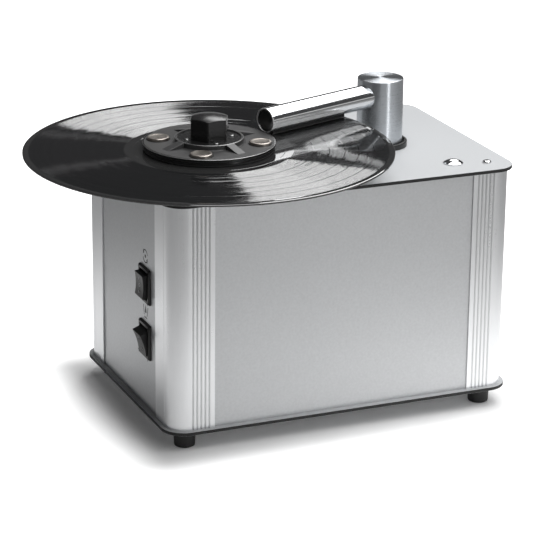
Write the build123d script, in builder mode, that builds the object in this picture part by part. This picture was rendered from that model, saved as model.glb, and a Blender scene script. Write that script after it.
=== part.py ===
from build123d import *
import os
from math import atan2, cos, degrees, hypot, radians, sin

os.makedirs("parts", exist_ok=True)

# A record cleaning machine: a metal cabinet that turns a record on a small platter while a suction arm
# dries it. Millimetres, X to the right, Y to the back, Z up. The origin is on the surface that the
# machine stands on, below the middle of its overall outline.

# ---------------------------------------------------------------------------------------------------
# Sizes
# ---------------------------------------------------------------------------------------------------
# Cabinet
cabinet_width = 307.0  # over the corner posts
cabinet_depth = 211.0
cabinet_height = 193.0  # between the two plates
plate_thickness = 3.0
plate_overhang = 4.0  # of both plates past the corner posts
panel_thickness = 3.0
panel_recess = 1.4  # from a post's face to the panel's face
slot_depth = 5.5  # of the panel slots in the posts
slot_clearance = 0.15  # each side of a panel in its slot

# Corner posts
post_front_leg = 37.4
post_side_leg = 39.8
post_corner_radius = 16.0
post_depth = 7.0  # of a leg, from its outer to its inner face
post_outer_wall = 2.8
post_inner_wall = 1.6
groove_count = 5
groove_pitch = 3.55
groove_width = 1.9
groove_depth = 0.75
groove_land = 4.9  # from the last groove's middle to the end of the front leg
side_groove_inset = 19.0
port_inset = 17.0  # screw port, from both outer faces
port_wall = 2.4
port_web = 2.2

# Screws and feet
screw_diameter = 4.0
screw_hole_clearance = 0.25  # radial
screw_length = 14.0
button_head_diameter = 7.6
button_head_height = 2.2
button_head_round = 1.5
hex_socket = 2.5  # across flats
hex_socket_depth = 1.3
small_screw_diameter = 3.0
small_head_diameter = 5.5
small_head_height = 1.8
small_screw_length = 8.0
foot_height = 16.0
foot_top_diameter = 18.8
foot_bottom_diameter = 17.6
foot_edge = 1.2
foot_bore_depth = 8.0
foot_bore_diameter = 9.0

# Record, platter and drive
record_diameter = 301.6
record_hole_diameter = 7.24
record_rise = 33.0  # from the deck to the record's upper side
record_label_diameter = 104.0
record_label_thickness = 2.2
record_label_edge = 1.0  # of the slope round the label
record_groove_thickness = 1.5
record_bead_width = 4.5
record_bead_thickness = 2.0
record_bead_slope = 1.2
spindle_inset_x = 45.8  # from the cabinet's left face
spindle_inset_y = 35.3  # from the cabinet's front face
pin_diameter = 7.1
pin_rise = 17.0  # above the record
pin_tip_diameter = 2.4
shaft_diameter = 10.0
mat_thickness = 2.0
platter_diameter = 100.0
platter_thickness = 8.0
platter_boss_diameter = 30.0
platter_rim_chamfer = 1.2
bearing_rise = 9.0  # above the deck
bearing_drop = 30.0  # below the deck's upper side
bearing_diameter = 26.0
bearing_flange_diameter = 44.0
bearing_flange_thickness = 3.0
bearing_screw_circle_diameter = 35.0
bush_diameter = 18.0
bush_length = 11.0
bush_flange_width = 2.0
bush_flange_thickness = 1.5
bearing_shoulder = 1.0  # that stops the bushes
shaft_fit = 0.05  # running fit, radial
seat_fit = 0.05  # between a shaft and the piece fixed on it, radial
shaft_tail = 16.0  # of the shaft below its bearing
shaft_end_gap = 1.0  # between the shaft and the motor's shaft in the coupling
coupling_diameter = 19.0
coupling_length = 24.0
coupling_gap = 2.0  # above the gearbox's boss
motor_shaft_diameter = 6.0
gearbox_diameter = 37.0
gearbox_length = 26.0
gearbox_boss_diameter = 12.0
gearbox_boss_height = 5.0
gearbox_offset = 7.0  # from the output shaft to the gearbox's middle
motor_diameter = 34.5
motor_length = 32.0
motor_chamfer = 1.5
bracket_length = 56.0
bracket_width = 50.0
bracket_thickness = 3.0
bracket_corner_radius = 4.0
spacer_diameter = 8.0
spacer_inset = 5.0

# Record clamp
clamp_diameter = 108.0
clamp_rise = 6.2  # of the disc above the record
clamp_edge = 0.3
clamp_seal_thickness = 1.6
clamp_seal_width = 7.0
clamp_seal_inset = 1.5
clamp_disc_rim = 2.0
clamp_groove_depth = 1.4
clamp_groove_width = 1.0
clamp_skirt_inset = 0.4
hub_diameter = 56.0
hub_rise = 10.3  # above the record
hub_lip = 1.8
hub_floor_drop = 1.2
rib_count = 4
rib_width = 8.0
rib_reach = 44.0  # from the middle
rib_angle = 15.0
magnet_diameter = 18.0
magnet_circle_diameter = 83.6
magnet_rise = 2.2  # above the disc
magnet_seat = 1.5  # below the disc's upper face
magnet_edge = 0.5
magnet_angle = 60.0
knob_corners = 29.6  # across the corners
knob_rise = 28.7
knob_corner_round = 1.0
knob_dome = 2.4  # from the corners up to the middle of the top
knob_angle = 34.5
knob_pin_gap = 1.0  # above the spindle pin
hub_screw_circle_diameter = 38.0
hub_screw_angle = -4.0
hub_screw_head_diameter = 3.8
hub_screw_head_height = 0.9
hub_screw_length = 4.0

# Suction arm
arm_inset_x = 228.4  # from the cabinet's left face
arm_inset_y = 99.8  # from the cabinet's front face
tube_diameter = 20.7
tube_wall = 1.1
tube_end_gap = 6.9  # from the clamp's edge to the tube's end
tube_socket_depth = 8.0  # of the tube's inner end in the post
plug_recess = 1.6
plug_thickness = 3.4
slot_width = 3.0
slot_outer_radius = 148.0  # of the suction slot, from the spindle
strip_thickness = 1.8
strip_width = 2.6
strip_lap = 3.0  # up the tube's side
strip_gap = 0.3  # above the record
arm_post_diameter = 39.4
arm_post_crown = 14.2  # above the tube's axis
arm_post_chamfer = 0.7
arm_post_centre_mark = 0.8
arm_post_gap = 0.3  # above the deck
arm_post_bore_depth = 26.0
arm_lift_travel = 10.0
stem_diameter = 28.0
stem_wall = 2.5
stem_fit = 0.06  # running fit, radial
collar_diameter = 38.0
collar_thickness = 4.0
ring_diameter = 48.0
ring_bore = 42.6
ring_height = 5.0
ring_chamfer = 0.5
guide_diameter = 34.0
guide_flange_diameter = 46.0
guide_flange_thickness = 4.0
guide_drop = 18.0  # below the cabinet's roof
guide_hole_clearance = 0.2
seal_section = 2.0
seal_edge = 0.4
seal_gap = 0.2

# Waste tank
tank_left_gap = 148.0  # from the cabinet's left face
tank_right_gap = 26.0
tank_front_gap = 12.0
tank_rear_gap = 21.0
tank_corner_radius = 9.0
tank_wall = 2.5
tank_floor_rise = 96.0  # above the base plate
tank_lid_drop = 36.0  # from the cabinet's roof to the lid's upper face
tank_lid_thickness = 3.0
socket_wall = 2.5
socket_drop = 14.0
socket_clearance = 0.5
socket_engagement = 12.0  # of the stem in the socket
standpipe_diameter = 26.0
standpipe_wall = 2.0
standpipe_gap = 12.0  # below the tank's lid
tank_post_diameter = 9.0
tank_post_inset = 8.0
neck_diameter = 18.0
neck_gap = 0.3  # below the cabinet's roof
tank_plug_inset_x = 44.1  # from the cabinet's right face
tank_plug_inset_y = 26.0  # from the cabinet's front face
tank_plug_diameter = 17.0
tank_plug_height = 3.6
tank_plug_rim = 0.8  # straight side of the head
tank_plug_stem_diameter = 11.0
tank_plug_stem_length = 20.0
tank_plug_clearance = 0.4

# Suction blower
blower_inset_x = 107.0  # from the cabinet's right face
blower_inset_y = 128.0  # from the cabinet's front face
blower_mount_height = 4.0
blower_mount_diameter = 12.0
blower_motor_diameter = 80.0
blower_motor_height = 52.0
blower_motor_chamfer = 3.0
blower_bore_depth = 26.0
blower_mount_inset = 9.0  # from the motor's edge
fan_chamber_diameter = 104.0
fan_chamber_height = 22.0
fan_wall = 2.5
fan_cover_thickness = 3.0
fan_eye_diameter = 28.0
impeller_diameter = 88.0
impeller_height = 13.0
impeller_disc = 1.6
impeller_blades = 9
impeller_blade_thickness = 1.4
impeller_hub_diameter = 14.0
impeller_hub_top = 3.0  # below the impeller's upper side
impeller_nose = 1.0
impeller_sweep = 50.0  # degrees that a blade leans back
impeller_gap = 2.0
blower_shaft_diameter = 6.0
exhaust_width = 30.0
exhaust_wall = 2.0
exhaust_offset = 30.0  # from the blower's middle, to the right
grille_width = 46.0
grille_height = 34.0
grille_thickness = 2.0
grille_corner = 3.0
grille_slots = 5
grille_slot_height = 2.4
grille_slot_pitch = 4.2

# Mains inlet and power board
inlet_inset_x = 62.0  # from the cabinet's left face
inlet_rise = 34.0  # above the base plate
inlet_flange_width = 31.0
inlet_flange_height = 24.0
inlet_flange_thickness = 2.2
inlet_flange_corner = 2.0
inlet_body_width = 27.0
inlet_body_height = 19.6
inlet_body_depth = 20.0
inlet_cavity_width = 24.2
inlet_cavity_height = 16.6
inlet_cavity_depth = 16.0
inlet_corner = 5.0
inlet_pin_length = 13.0
inlet_pin_width = 4.0
inlet_pin_thickness = 2.0
inlet_pin_pitch = 7.0
inlet_line_drop = 2.0  # of the two outer pins below the middle
inlet_earth_rise = 2.0
board_left_gap = 28.0
board_rear_gap = 29.0
board_length = 84.0
board_width = 60.0
board_thickness = 1.6
board_rise = 8.0
board_hole_inset = 5.0
board_spacer_diameter = 6.0
transformer_length = 42.0
transformer_width = 36.0
transformer_height = 32.0
transformer_inset = 10.0  # from the board's left edge
coil_length = 25.0
coil_height = 18.0
coil_overhang = 5.0
coil_corner = 4.0
capacitor_diameter = 18.0
capacitor_height = 30.0
capacitor_edge = 1.5

# Rocker switches
switch_inset_y = 66.0  # from the cabinet's front face
switch_motor_rise = 108.2  # above the base plate
switch_vacuum_rise = 59.4
bezel_width = 25.5
bezel_height = 31.0
bezel_thickness = 2.2
bezel_bevel = 1.1
bezel_corner = 1.5
switch_body_width = 22.0
switch_body_height = 27.6
switch_body_depth = 20.0
cutout_clearance = 0.2
rocker_width = 18.4
rocker_length = 20.2  # of its face
rocker_flare = 1.0  # of each end, from the face to the pivot
rocker_gap = 0.35
rocker_stand = 3.2  # of the rocker's waist before the bezel
rocker_end_stand = 1.0  # of its ends before its waist
rocker_back = 6.0  # behind the pivot
rocker_pivot_depth = 4.5  # behind the bezel's face
rocker_pivot_diameter = 3.0
rocker_pivot_reach = 1.0  # into the frame's walls
rocker_pivot_fit = 0.08  # radial
rocker_throw = 16.0  # degrees each way from the middle
rocker_well_depth = 13.0
terminal_length = 9.0
terminal_width = 6.3
terminal_thickness = 0.8
terminal_pitch = 8.0

# ---------------------------------------------------------------------------------------------------
# Places
# ---------------------------------------------------------------------------------------------------
record_radius = record_diameter / 2
cabinet_left = (record_radius - spindle_inset_x - cabinet_width - plate_overhang) / 2
cabinet_front = (record_radius - spindle_inset_y - cabinet_depth - plate_overhang) / 2
cabinet_right = cabinet_left + cabinet_width
cabinet_rear = cabinet_front + cabinet_depth
cabinet_mid_x = cabinet_left + cabinet_width / 2
cabinet_mid_y = cabinet_front + cabinet_depth / 2

base_top = foot_height + plate_thickness
roof = base_top + cabinet_height
deck = roof + plate_thickness
record_top = deck + record_rise
record_bottom = record_top - record_label_thickness
mat_bottom = record_bottom - mat_thickness
platter_bottom = mat_bottom - platter_thickness

spindle = (cabinet_left + spindle_inset_x, cabinet_front + spindle_inset_y)
arm = (cabinet_left + arm_inset_x, cabinet_front + arm_inset_y)
tank_plug_place = (cabinet_right - tank_plug_inset_x, cabinet_front + tank_plug_inset_y)
blower = (cabinet_right - blower_inset_x, cabinet_front + blower_inset_y)
ports = [(x, y) for x in (cabinet_left + port_inset, cabinet_right - port_inset)
         for y in (cabinet_front + port_inset, cabinet_rear - port_inset)]

# The suction arm points at the spindle and rests just above the record.
arm_spacing = hypot(spindle[0] - arm[0], spindle[1] - arm[1])
arm_heading = degrees(atan2(spindle[1] - arm[1], spindle[0] - arm[0]))
tube_reach = arm_spacing - clamp_diameter / 2 - tube_end_gap
tube_axis_height = record_top + strip_gap + strip_thickness + tube_diameter / 2


def finish(piece, name):
    """Labels a finished piece and writes its file."""
    piece.part.label = name
    export_step(piece.part, f"parts/{name}.step")


def level(height, place=(0, 0)):
    """A horizontal plane at a height, its origin over a place."""
    return Plane((place[0], place[1], height))


def polar(centre, radius, angle):
    """The place at a distance and an angle from a centre."""
    return (centre[0] + radius * cos(radians(angle)), centre[1] + radius * sin(radians(angle)))


def upright(place):
    """The upright line over a place."""
    return Axis((place[0], place[1], 0), (0, 0, 1))


def side_view(place):
    """The upright plane through a place that is seen from the front: X to the right, Y up."""
    return Plane(origin=(place[0], place[1], 0), x_dir=(1, 0, 0), z_dir=(0, -1, 0))


def rear_view(place, y):
    """A plane seen from behind, through a place given as (x, height): X to the left, Y up."""
    return Plane(origin=(place[0], y, place[1]), x_dir=(-1, 0, 0), z_dir=(0, 1, 0))


def turn(place, points):
    """Adds an outline of (radius, height) points, turned about the upright line over a place."""
    with BuildSketch(side_view(place)) as outline:
        with BuildLine():
            Polyline(*points, close=True)
        make_face()
    revolve(outline.sketch, axis=upright(place))


def tube_between(place, bottom, top, outer, inner):
    """Adds an upright tube between two heights, from its outer and inner diameters."""
    turn(place, [(inner / 2, bottom), (outer / 2, bottom), (outer / 2, top), (inner / 2, top)])


def rod_between(place, bottom, top, diameter):
    """Adds an upright rod between two heights."""
    turn(place, [(0, bottom), (diameter / 2, bottom), (diameter / 2, top), (0, top)])


def block(x0, x1, y0, y1, bottom, top):
    """Adds a plain block between six faces."""
    with Locations((x0, y0, bottom)):
        Box(x1 - x0, y1 - y0, top - bottom, align=(Align.MIN, Align.MIN, Align.MIN))


# ---------------------------------------------------------------------------------------------------
# Cabinet
# ---------------------------------------------------------------------------------------------------
plate_corner_radius = post_corner_radius + plate_overhang
plate_length = cabinet_width + 2 * plate_overhang
plate_width = cabinet_depth + 2 * plate_overhang
screw_hole_radius = screw_diameter / 2 + screw_hole_clearance
guide_hole_radius = guide_diameter / 2 + guide_hole_clearance
bearing_hole_radius = bearing_diameter / 2 + screw_hole_clearance
plug_hole_radius = tank_plug_stem_diameter / 2 + tank_plug_clearance
bearing_screw_places = [polar(spindle, bearing_screw_circle_diameter / 2, number * 120)
                        for number in range(3)]

with BuildPart() as base_plate:
    with BuildSketch(level(foot_height, (cabinet_mid_x, cabinet_mid_y))):
        RectangleRounded(plate_length, plate_width, plate_corner_radius)
    extrude(amount=plate_thickness)
    with BuildSketch(level(foot_height)):
        with Locations(*ports):
            Circle(screw_hole_radius)
    extrude(amount=plate_thickness, mode=Mode.SUBTRACT)
finish(base_plate, "base_plate")

with BuildPart() as deck_plate:
    with BuildSketch(level(roof, (cabinet_mid_x, cabinet_mid_y))):
        RectangleRounded(plate_length, plate_width, plate_corner_radius)
    extrude(amount=plate_thickness)
    with BuildSketch(level(roof)):
        with Locations(*ports):
            Circle(screw_hole_radius)
        with Locations(spindle):
            Circle(bearing_hole_radius)
        with Locations(arm):
            Circle(guide_hole_radius)
        with Locations(tank_plug_place):
            Circle(plug_hole_radius)
        with Locations(*bearing_screw_places):
            Circle(small_screw_diameter / 2 + seat_fit)
    extrude(amount=plate_thickness, mode=Mode.SUBTRACT)
finish(deck_plate, "deck_plate")

# A corner post is an extrusion: two hollow legs with a slot for a panel at each end, a rounded outer
# corner, grooves down its front leg and a screw port on a web behind the corner.
slot_width_across = panel_thickness + 2 * slot_clearance
slot_inset = panel_recess - slot_clearance
chamber_depth = post_depth - post_outer_wall - post_inner_wall
port_radius = screw_diameter / 2 + port_wall
web_root = (post_corner_radius * (1 - 0.5**0.5) + post_depth) / 2  # inside the wall of the round corner
web_length = (port_inset - web_root) * 2**0.5
post_corner = (cabinet_left, cabinet_front)

with BuildPart() as front_left_post:
    with BuildSketch(level(base_top, post_corner)):
        with BuildLine():
            Polyline((0, 0), (post_front_leg, 0), (post_front_leg, post_depth), (post_depth, post_depth),
                     (post_depth, post_side_leg), (0, post_side_leg), close=True)
        profile = make_face()
        corners = profile.vertices().group_by(Axis.X)[0].sort_by(Axis.Y)
        fillet(corners[0], post_corner_radius)
        with Locations((port_inset, port_inset)):
            Circle(port_radius)
        with Locations(((web_root + port_inset) / 2, (web_root + port_inset) / 2)):
            Rectangle(web_length, port_web, rotation=45)
        with Locations((port_inset, port_inset)):
            Circle(screw_diameter / 2, mode=Mode.SUBTRACT)
        with Locations((post_front_leg - slot_depth, slot_inset)):
            Rectangle(slot_depth, slot_width_across, align=(Align.MIN, Align.MIN), mode=Mode.SUBTRACT)
        with Locations((slot_inset, post_side_leg - slot_depth)):
            Rectangle(slot_width_across, slot_depth, align=(Align.MIN, Align.MIN), mode=Mode.SUBTRACT)
        front_chamber = post_front_leg - slot_depth - post_outer_wall - post_corner_radius
        with Locations((post_corner_radius, post_outer_wall)):
            Rectangle(front_chamber, chamber_depth, align=(Align.MIN, Align.MIN), mode=Mode.SUBTRACT)
        side_chamber = post_side_leg - slot_depth - post_outer_wall - post_corner_radius
        with Locations((post_outer_wall, post_corner_radius)):
            Rectangle(chamber_depth, side_chamber, align=(Align.MIN, Align.MIN), mode=Mode.SUBTRACT)
        for number in range(groove_count):
            middle = post_front_leg - groove_land - number * groove_pitch
            with BuildLine():
                Polyline((middle - groove_width / 2, 0), (middle, groove_depth),
                         (middle + groove_width / 2, 0), (middle, -groove_depth), close=True)
            make_face(mode=Mode.SUBTRACT)
        with BuildLine():
            Polyline((0, side_groove_inset - groove_depth / 2), (groove_depth / 2, side_groove_inset),
                     (0, side_groove_inset + groove_depth / 2), (-groove_depth, side_groove_inset),
                     close=True)
        make_face(mode=Mode.SUBTRACT)
    extrude(amount=cabinet_height)
finish(front_left_post, "front_left_post")

with BuildPart() as front_right_post:
    mirror(front_left_post.part, about=Plane.YZ.offset(cabinet_mid_x))
finish(front_right_post, "front_right_post")

across_middle = Plane.XZ.offset(-cabinet_mid_y)
with BuildPart() as rear_left_post:
    mirror(front_left_post.part, about=across_middle)
finish(rear_left_post, "rear_left_post")

with BuildPart() as rear_right_post:
    mirror(front_right_post.part, about=across_middle)
finish(rear_right_post, "rear_right_post")

# The panels fill the slots but for a clearance at each end, and stand between the two plates.
panel_x0 = cabinet_left + post_front_leg - slot_depth + slot_clearance
panel_x1 = cabinet_right - post_front_leg + slot_depth - slot_clearance
panel_y0 = cabinet_front + post_side_leg - slot_depth + slot_clearance
panel_y1 = cabinet_rear - post_side_leg + slot_depth - slot_clearance
left_face = cabinet_left + panel_recess
rear_face = cabinet_rear - panel_recess
front_face = cabinet_front + panel_recess
right_face = cabinet_right - panel_recess
switch_y = cabinet_front + switch_inset_y
switch_heights = {"motor": base_top + switch_motor_rise, "vacuum": base_top + switch_vacuum_rise}
inlet_place = (cabinet_left + inlet_inset_x, base_top + inlet_rise)
chamber_bottom = base_top + blower_mount_height + blower_motor_height
chamber_top = chamber_bottom + fan_chamber_height
exhaust_place = (blower[0] + exhaust_offset, (chamber_bottom + chamber_top) / 2)

with BuildPart() as front_panel:
    block(panel_x0, panel_x1, front_face, front_face + panel_thickness, base_top, roof)
finish(front_panel, "front_panel")

with BuildPart() as right_panel:
    block(right_face - panel_thickness, right_face, panel_y0, panel_y1, base_top, roof)
finish(right_panel, "right_panel")

with BuildPart() as left_panel:
    block(left_face, left_face + panel_thickness, panel_y0, panel_y1, base_top, roof)
    with BuildSketch(Plane.YZ.offset(left_face)):
        with Locations(*[(switch_y, height) for height in switch_heights.values()]):
            Rectangle(switch_body_width + 2 * cutout_clearance, switch_body_height + 2 * cutout_clearance)
    extrude(amount=panel_thickness, mode=Mode.SUBTRACT)
finish(left_panel, "left_panel")

with BuildPart() as rear_panel:
    block(panel_x0, panel_x1, rear_face - panel_thickness, rear_face, base_top, roof)
    with BuildSketch(rear_view(inlet_place, rear_face)):
        Rectangle(inlet_body_width + 2 * cutout_clearance, inlet_body_height + 2 * cutout_clearance)
    extrude(amount=-panel_thickness, mode=Mode.SUBTRACT)
    with BuildSketch(rear_view(exhaust_place, rear_face)):
        Rectangle(exhaust_width - 2 * exhaust_wall, fan_chamber_height - 2 * exhaust_wall)
    extrude(amount=-panel_thickness, mode=Mode.SUBTRACT)
finish(rear_panel, "rear_panel")

# Button-head screws hold the deck to the posts' ports, with their shanks a little under the bores' size.
shank = screw_diameter / 2 - seat_fit
head = button_head_diameter / 2
with BuildPart() as deck_screws:
    for port in ports:
        turn(port, [(0, deck - screw_length), (shank, deck - screw_length), (shank, deck), (head, deck),
                    (head, deck + button_head_height), (0, deck + button_head_height)])
    fillet(deck_screws.edges().group_by(Axis.Z)[-1], button_head_round)
    with BuildSketch(level(deck + button_head_height)):
        with Locations(*ports):
            RegularPolygon(hex_socket / 2, 6, major_radius=False)
    extrude(amount=-hex_socket_depth, mode=Mode.SUBTRACT)
finish(deck_screws, "deck_screws")

with BuildPart() as feet:
    for port in ports:
        bore = foot_bore_diameter / 2
        turn(port, [(screw_hole_radius, foot_bore_depth), (bore, foot_bore_depth), (bore, 0),
                    (foot_bottom_diameter / 2 - foot_edge, 0), (foot_bottom_diameter / 2, foot_edge),
                    (foot_top_diameter / 2, foot_height), (screw_hole_radius, foot_height)])
finish(feet, "feet")

# The foot screws also hold the base plate to the posts.
foot_screw_bottom = foot_bore_depth - button_head_height
foot_screw_top = base_top + screw_length
with BuildPart() as foot_screws:
    for port in ports:
        turn(port, [(0, foot_screw_bottom), (head, foot_screw_bottom), (head, foot_bore_depth),
                    (shank, foot_bore_depth), (shank, foot_screw_top), (0, foot_screw_top)])
    fillet(foot_screws.edges().group_by(Axis.Z)[0], button_head_round)
    with BuildSketch(level(foot_screw_bottom)):
        with Locations(*ports):
            RegularPolygon(hex_socket / 2, 6, major_radius=False)
    extrude(amount=hex_socket_depth, mode=Mode.SUBTRACT)
finish(foot_screws, "foot_screws")

# ---------------------------------------------------------------------------------------------------
# Record, platter and drive
# ---------------------------------------------------------------------------------------------------
pin_radius = pin_diameter / 2
shaft_radius = shaft_diameter / 2
bearing_top = deck + bearing_rise
bearing_bottom = deck - bearing_drop
boss_bottom = bearing_top + bush_flange_thickness
shaft_bottom = bearing_bottom - shaft_tail
coupling_bottom = shaft_bottom - coupling_length / 2
motor_shaft_top = shaft_bottom - shaft_end_gap
gearbox_top = coupling_bottom - coupling_gap - gearbox_boss_height
bracket_top = gearbox_top + bracket_thickness
gearbox_place = (spindle[0] + gearbox_offset, spindle[1])

record_mid = record_top - record_label_thickness / 2
label_edge = record_label_diameter / 2
bead_edge = record_radius - record_bead_width
with BuildPart() as record:
    label_half = record_label_thickness / 2
    groove_half = record_groove_thickness / 2
    bead_half = record_bead_thickness / 2
    upper = [(record_hole_diameter / 2, label_half), (label_edge - record_label_edge, label_half),
             (label_edge, groove_half), (bead_edge, groove_half), (bead_edge + record_bead_slope, bead_half),
             (record_radius - bead_half, bead_half), (record_radius, bead_half / 2)]
    lower = [(radius, -height) for radius, height in reversed(upper)]
    turn(spindle, [(radius, record_mid + height) for radius, height in upper + lower])
finish(record, "record")

with BuildPart() as platter_mat:
    tube_between(spindle, mat_bottom, record_bottom, platter_diameter, 2 * (pin_radius + seat_fit))
finish(platter_mat, "platter_mat")

with BuildPart() as platter:
    rim = platter_diameter / 2
    turn(spindle, [(shaft_radius + seat_fit, boss_bottom), (platter_boss_diameter / 2, boss_bottom),
                   (platter_boss_diameter / 2, platter_bottom),
                   (rim - platter_rim_chamfer, platter_bottom),
                   (rim, platter_bottom + platter_rim_chamfer), (rim, mat_bottom),
                   (shaft_radius + seat_fit, mat_bottom)])
finish(platter, "platter")

pin_top = record_top + pin_rise
with BuildPart() as spindle_shaft:
    turn(spindle, [(0, shaft_bottom), (shaft_radius, shaft_bottom), (shaft_radius, mat_bottom),
                   (pin_radius, mat_bottom), (pin_radius, pin_top - pin_radius),
                   (pin_tip_diameter / 2, pin_top), (0, pin_top)])
finish(spindle_shaft, "spindle_shaft")

with BuildPart() as platter_bearing:
    wall = bearing_diameter / 2
    bush_seat = bush_diameter / 2 + seat_fit
    waist = bush_seat - bearing_shoulder
    flange = bearing_flange_diameter / 2
    turn(spindle, [(bush_seat, bearing_bottom), (wall, bearing_bottom), (wall, deck), (flange, deck),
                   (flange, deck + bearing_flange_thickness), (wall, deck + bearing_flange_thickness),
                   (wall, bearing_top), (bush_seat, bearing_top), (bush_seat, bearing_top - bush_length),
                   (waist, bearing_top - bush_length), (waist, bearing_bottom + bush_length),
                   (bush_seat, bearing_bottom + bush_length)])
    with Locations(level(deck + bearing_flange_thickness, spindle)):
        with PolarLocations(bearing_screw_circle_diameter / 2, 3):
            Hole(small_screw_diameter / 2 + screw_hole_clearance, depth=bearing_flange_thickness)
finish(platter_bearing, "platter_bearing")

with BuildPart() as bearing_screws:
    seat = deck + bearing_flange_thickness
    thread = small_screw_diameter / 2
    for place in bearing_screw_places:
        turn(place, [(0, seat - small_screw_length), (thread, seat - small_screw_length), (thread, seat),
                     (small_head_diameter / 2, seat), (small_head_diameter / 2, seat + small_head_height),
                     (0, seat + small_head_height)])
finish(bearing_screws, "bearing_screws")

with BuildPart() as shaft_bushes:
    bore = shaft_radius + shaft_fit
    body = bush_diameter / 2
    lip = body + bush_flange_width
    for start, way in ((bearing_top, 1), (bearing_bottom, -1)):
        turn(spindle, [(bore, start - way * bush_length), (body, start - way * bush_length),
                       (body, start), (lip, start), (lip, start + way * bush_flange_thickness),
                       (bore, start + way * bush_flange_thickness)])
finish(shaft_bushes, "shaft_bushes")

with BuildPart() as coupling:
    half = coupling_bottom + coupling_length / 2
    outer = coupling_diameter / 2
    turn(spindle, [(motor_shaft_diameter / 2 + seat_fit, coupling_bottom), (outer, coupling_bottom),
                   (outer, coupling_bottom + coupling_length),
                   (shaft_radius + seat_fit, coupling_bottom + coupling_length),
                   (shaft_radius + seat_fit, half), (motor_shaft_diameter / 2 + seat_fit, half)])
finish(coupling, "coupling")

with BuildPart() as motor_shaft:
    rod_between(spindle, gearbox_top - gearbox_boss_height, motor_shaft_top, motor_shaft_diameter)
finish(motor_shaft, "motor_shaft")

with BuildPart() as gear_motor:
    rod_between(gearbox_place, gearbox_top - gearbox_length, gearbox_top, gearbox_diameter)
    rod_between(spindle, gearbox_top, gearbox_top + gearbox_boss_height, gearbox_boss_diameter)
    rod_between(gearbox_place, gearbox_top - gearbox_length - motor_length, gearbox_top - gearbox_length,
                    motor_diameter)
    with BuildSketch(level(gearbox_top - gearbox_boss_height, spindle)):
        Circle(motor_shaft_diameter / 2 + shaft_fit)
    extrude(amount=2 * gearbox_boss_height, mode=Mode.SUBTRACT)
    chamfer(gear_motor.edges().group_by(Axis.Z)[0], motor_chamfer)
finish(gear_motor, "gear_motor")

spacer_dx = bracket_length / 2 - spacer_inset
spacer_dy = bracket_width / 2 - spacer_inset
spacer_places = [(gearbox_place[0] + dx, gearbox_place[1] + dy)
                 for dx in (-spacer_dx, spacer_dx) for dy in (-spacer_dy, spacer_dy)]
with BuildPart() as motor_bracket:
    with BuildSketch(level(gearbox_top, gearbox_place)):
        RectangleRounded(bracket_length, bracket_width, bracket_corner_radius)
    extrude(amount=bracket_thickness)
    with BuildSketch(level(gearbox_top, spindle)):
        Circle(gearbox_boss_diameter / 2 + screw_hole_clearance)
    extrude(amount=bracket_thickness, mode=Mode.SUBTRACT)
finish(motor_bracket, "motor_bracket")

with BuildPart() as bracket_spacers:
    with BuildSketch(level(bracket_top)):
        with Locations(*spacer_places):
            RegularPolygon(spacer_diameter / 2, 6)
    extrude(amount=roof - bracket_top)
finish(bracket_spacers, "bracket_spacers")

# ---------------------------------------------------------------------------------------------------
# Record clamp
# ---------------------------------------------------------------------------------------------------
clamp_radius = clamp_diameter / 2
clamp_top = record_top + clamp_rise
clamp_bottom = record_top + clamp_seal_thickness
hub_top = record_top + hub_rise
hub_floor = hub_top - hub_floor_drop
hub_radius = hub_diameter / 2
seal_outer = clamp_radius - clamp_seal_inset
seal_inner = seal_outer - clamp_seal_width
groove_radius = clamp_radius - clamp_groove_depth
pin_bore = pin_radius + shaft_fit
rib_angles = [rib_angle + number * 360 / rib_count for number in range(rib_count)]
magnet_places = [polar(spindle, magnet_circle_diameter / 2, magnet_angle + number * 90)
                 for number in range(4)]
screw_places = [polar(spindle, hub_screw_circle_diameter / 2, hub_screw_angle + number * 90)
                for number in range(4)]

with BuildPart() as clamp_disc:
    ring_top = clamp_top - clamp_disc_rim
    ring_bottom = ring_top - clamp_groove_width
    skirt = clamp_radius - clamp_skirt_inset
    hub_inner = hub_radius - hub_lip
    turn(spindle, [(pin_bore, clamp_bottom), (skirt, clamp_bottom), (skirt, ring_bottom),
                   (groove_radius, ring_bottom), (groove_radius, ring_top), (clamp_radius, ring_top),
                   (clamp_radius, clamp_top - clamp_edge), (clamp_radius - clamp_edge, clamp_top),
                   (hub_radius, clamp_top), (hub_radius, hub_top - clamp_edge),
                   (hub_radius - clamp_edge, hub_top), (hub_inner, hub_top), (hub_inner, hub_floor),
                   (pin_bore, hub_floor)])
    for angle in rib_angles:
        way = (cos(radians(angle)), sin(radians(angle)), 0)
        with BuildSketch(Plane(origin=(spindle[0], spindle[1], 0), x_dir=way, z_dir=(way[1], -way[0], 0))):
            with BuildLine():
                Polyline((hub_inner, clamp_bottom), (rib_reach, clamp_bottom), (rib_reach, clamp_top),
                         (hub_radius, hub_top), (hub_inner, hub_top), close=True)
            make_face()
        extrude(amount=rib_width / 2, both=True)
    with BuildSketch(level(clamp_top)):
        with Locations(*magnet_places):
            Circle(magnet_diameter / 2 + seat_fit)
    extrude(amount=-magnet_seat, mode=Mode.SUBTRACT)
    with BuildSketch(level(hub_floor)):
        with Locations(*screw_places):
            Circle(small_screw_diameter / 2 + seat_fit)
    extrude(amount=-hub_screw_length, mode=Mode.SUBTRACT)
finish(clamp_disc, "clamp_disc")

with BuildPart() as clamp_seal:
    tube_between(spindle, record_top, clamp_bottom, 2 * seal_outer, 2 * seal_inner)
finish(clamp_seal, "clamp_seal")

with BuildPart() as clamp_magnets:
    edge = magnet_diameter / 2
    magnet_top = clamp_top + magnet_rise
    for place in magnet_places:
        turn(place, [(0, clamp_top - magnet_seat), (edge, clamp_top - magnet_seat),
                     (edge, magnet_top - magnet_edge), (edge - magnet_edge, magnet_top), (0, magnet_top)])
finish(clamp_magnets, "clamp_magnets")

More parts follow.
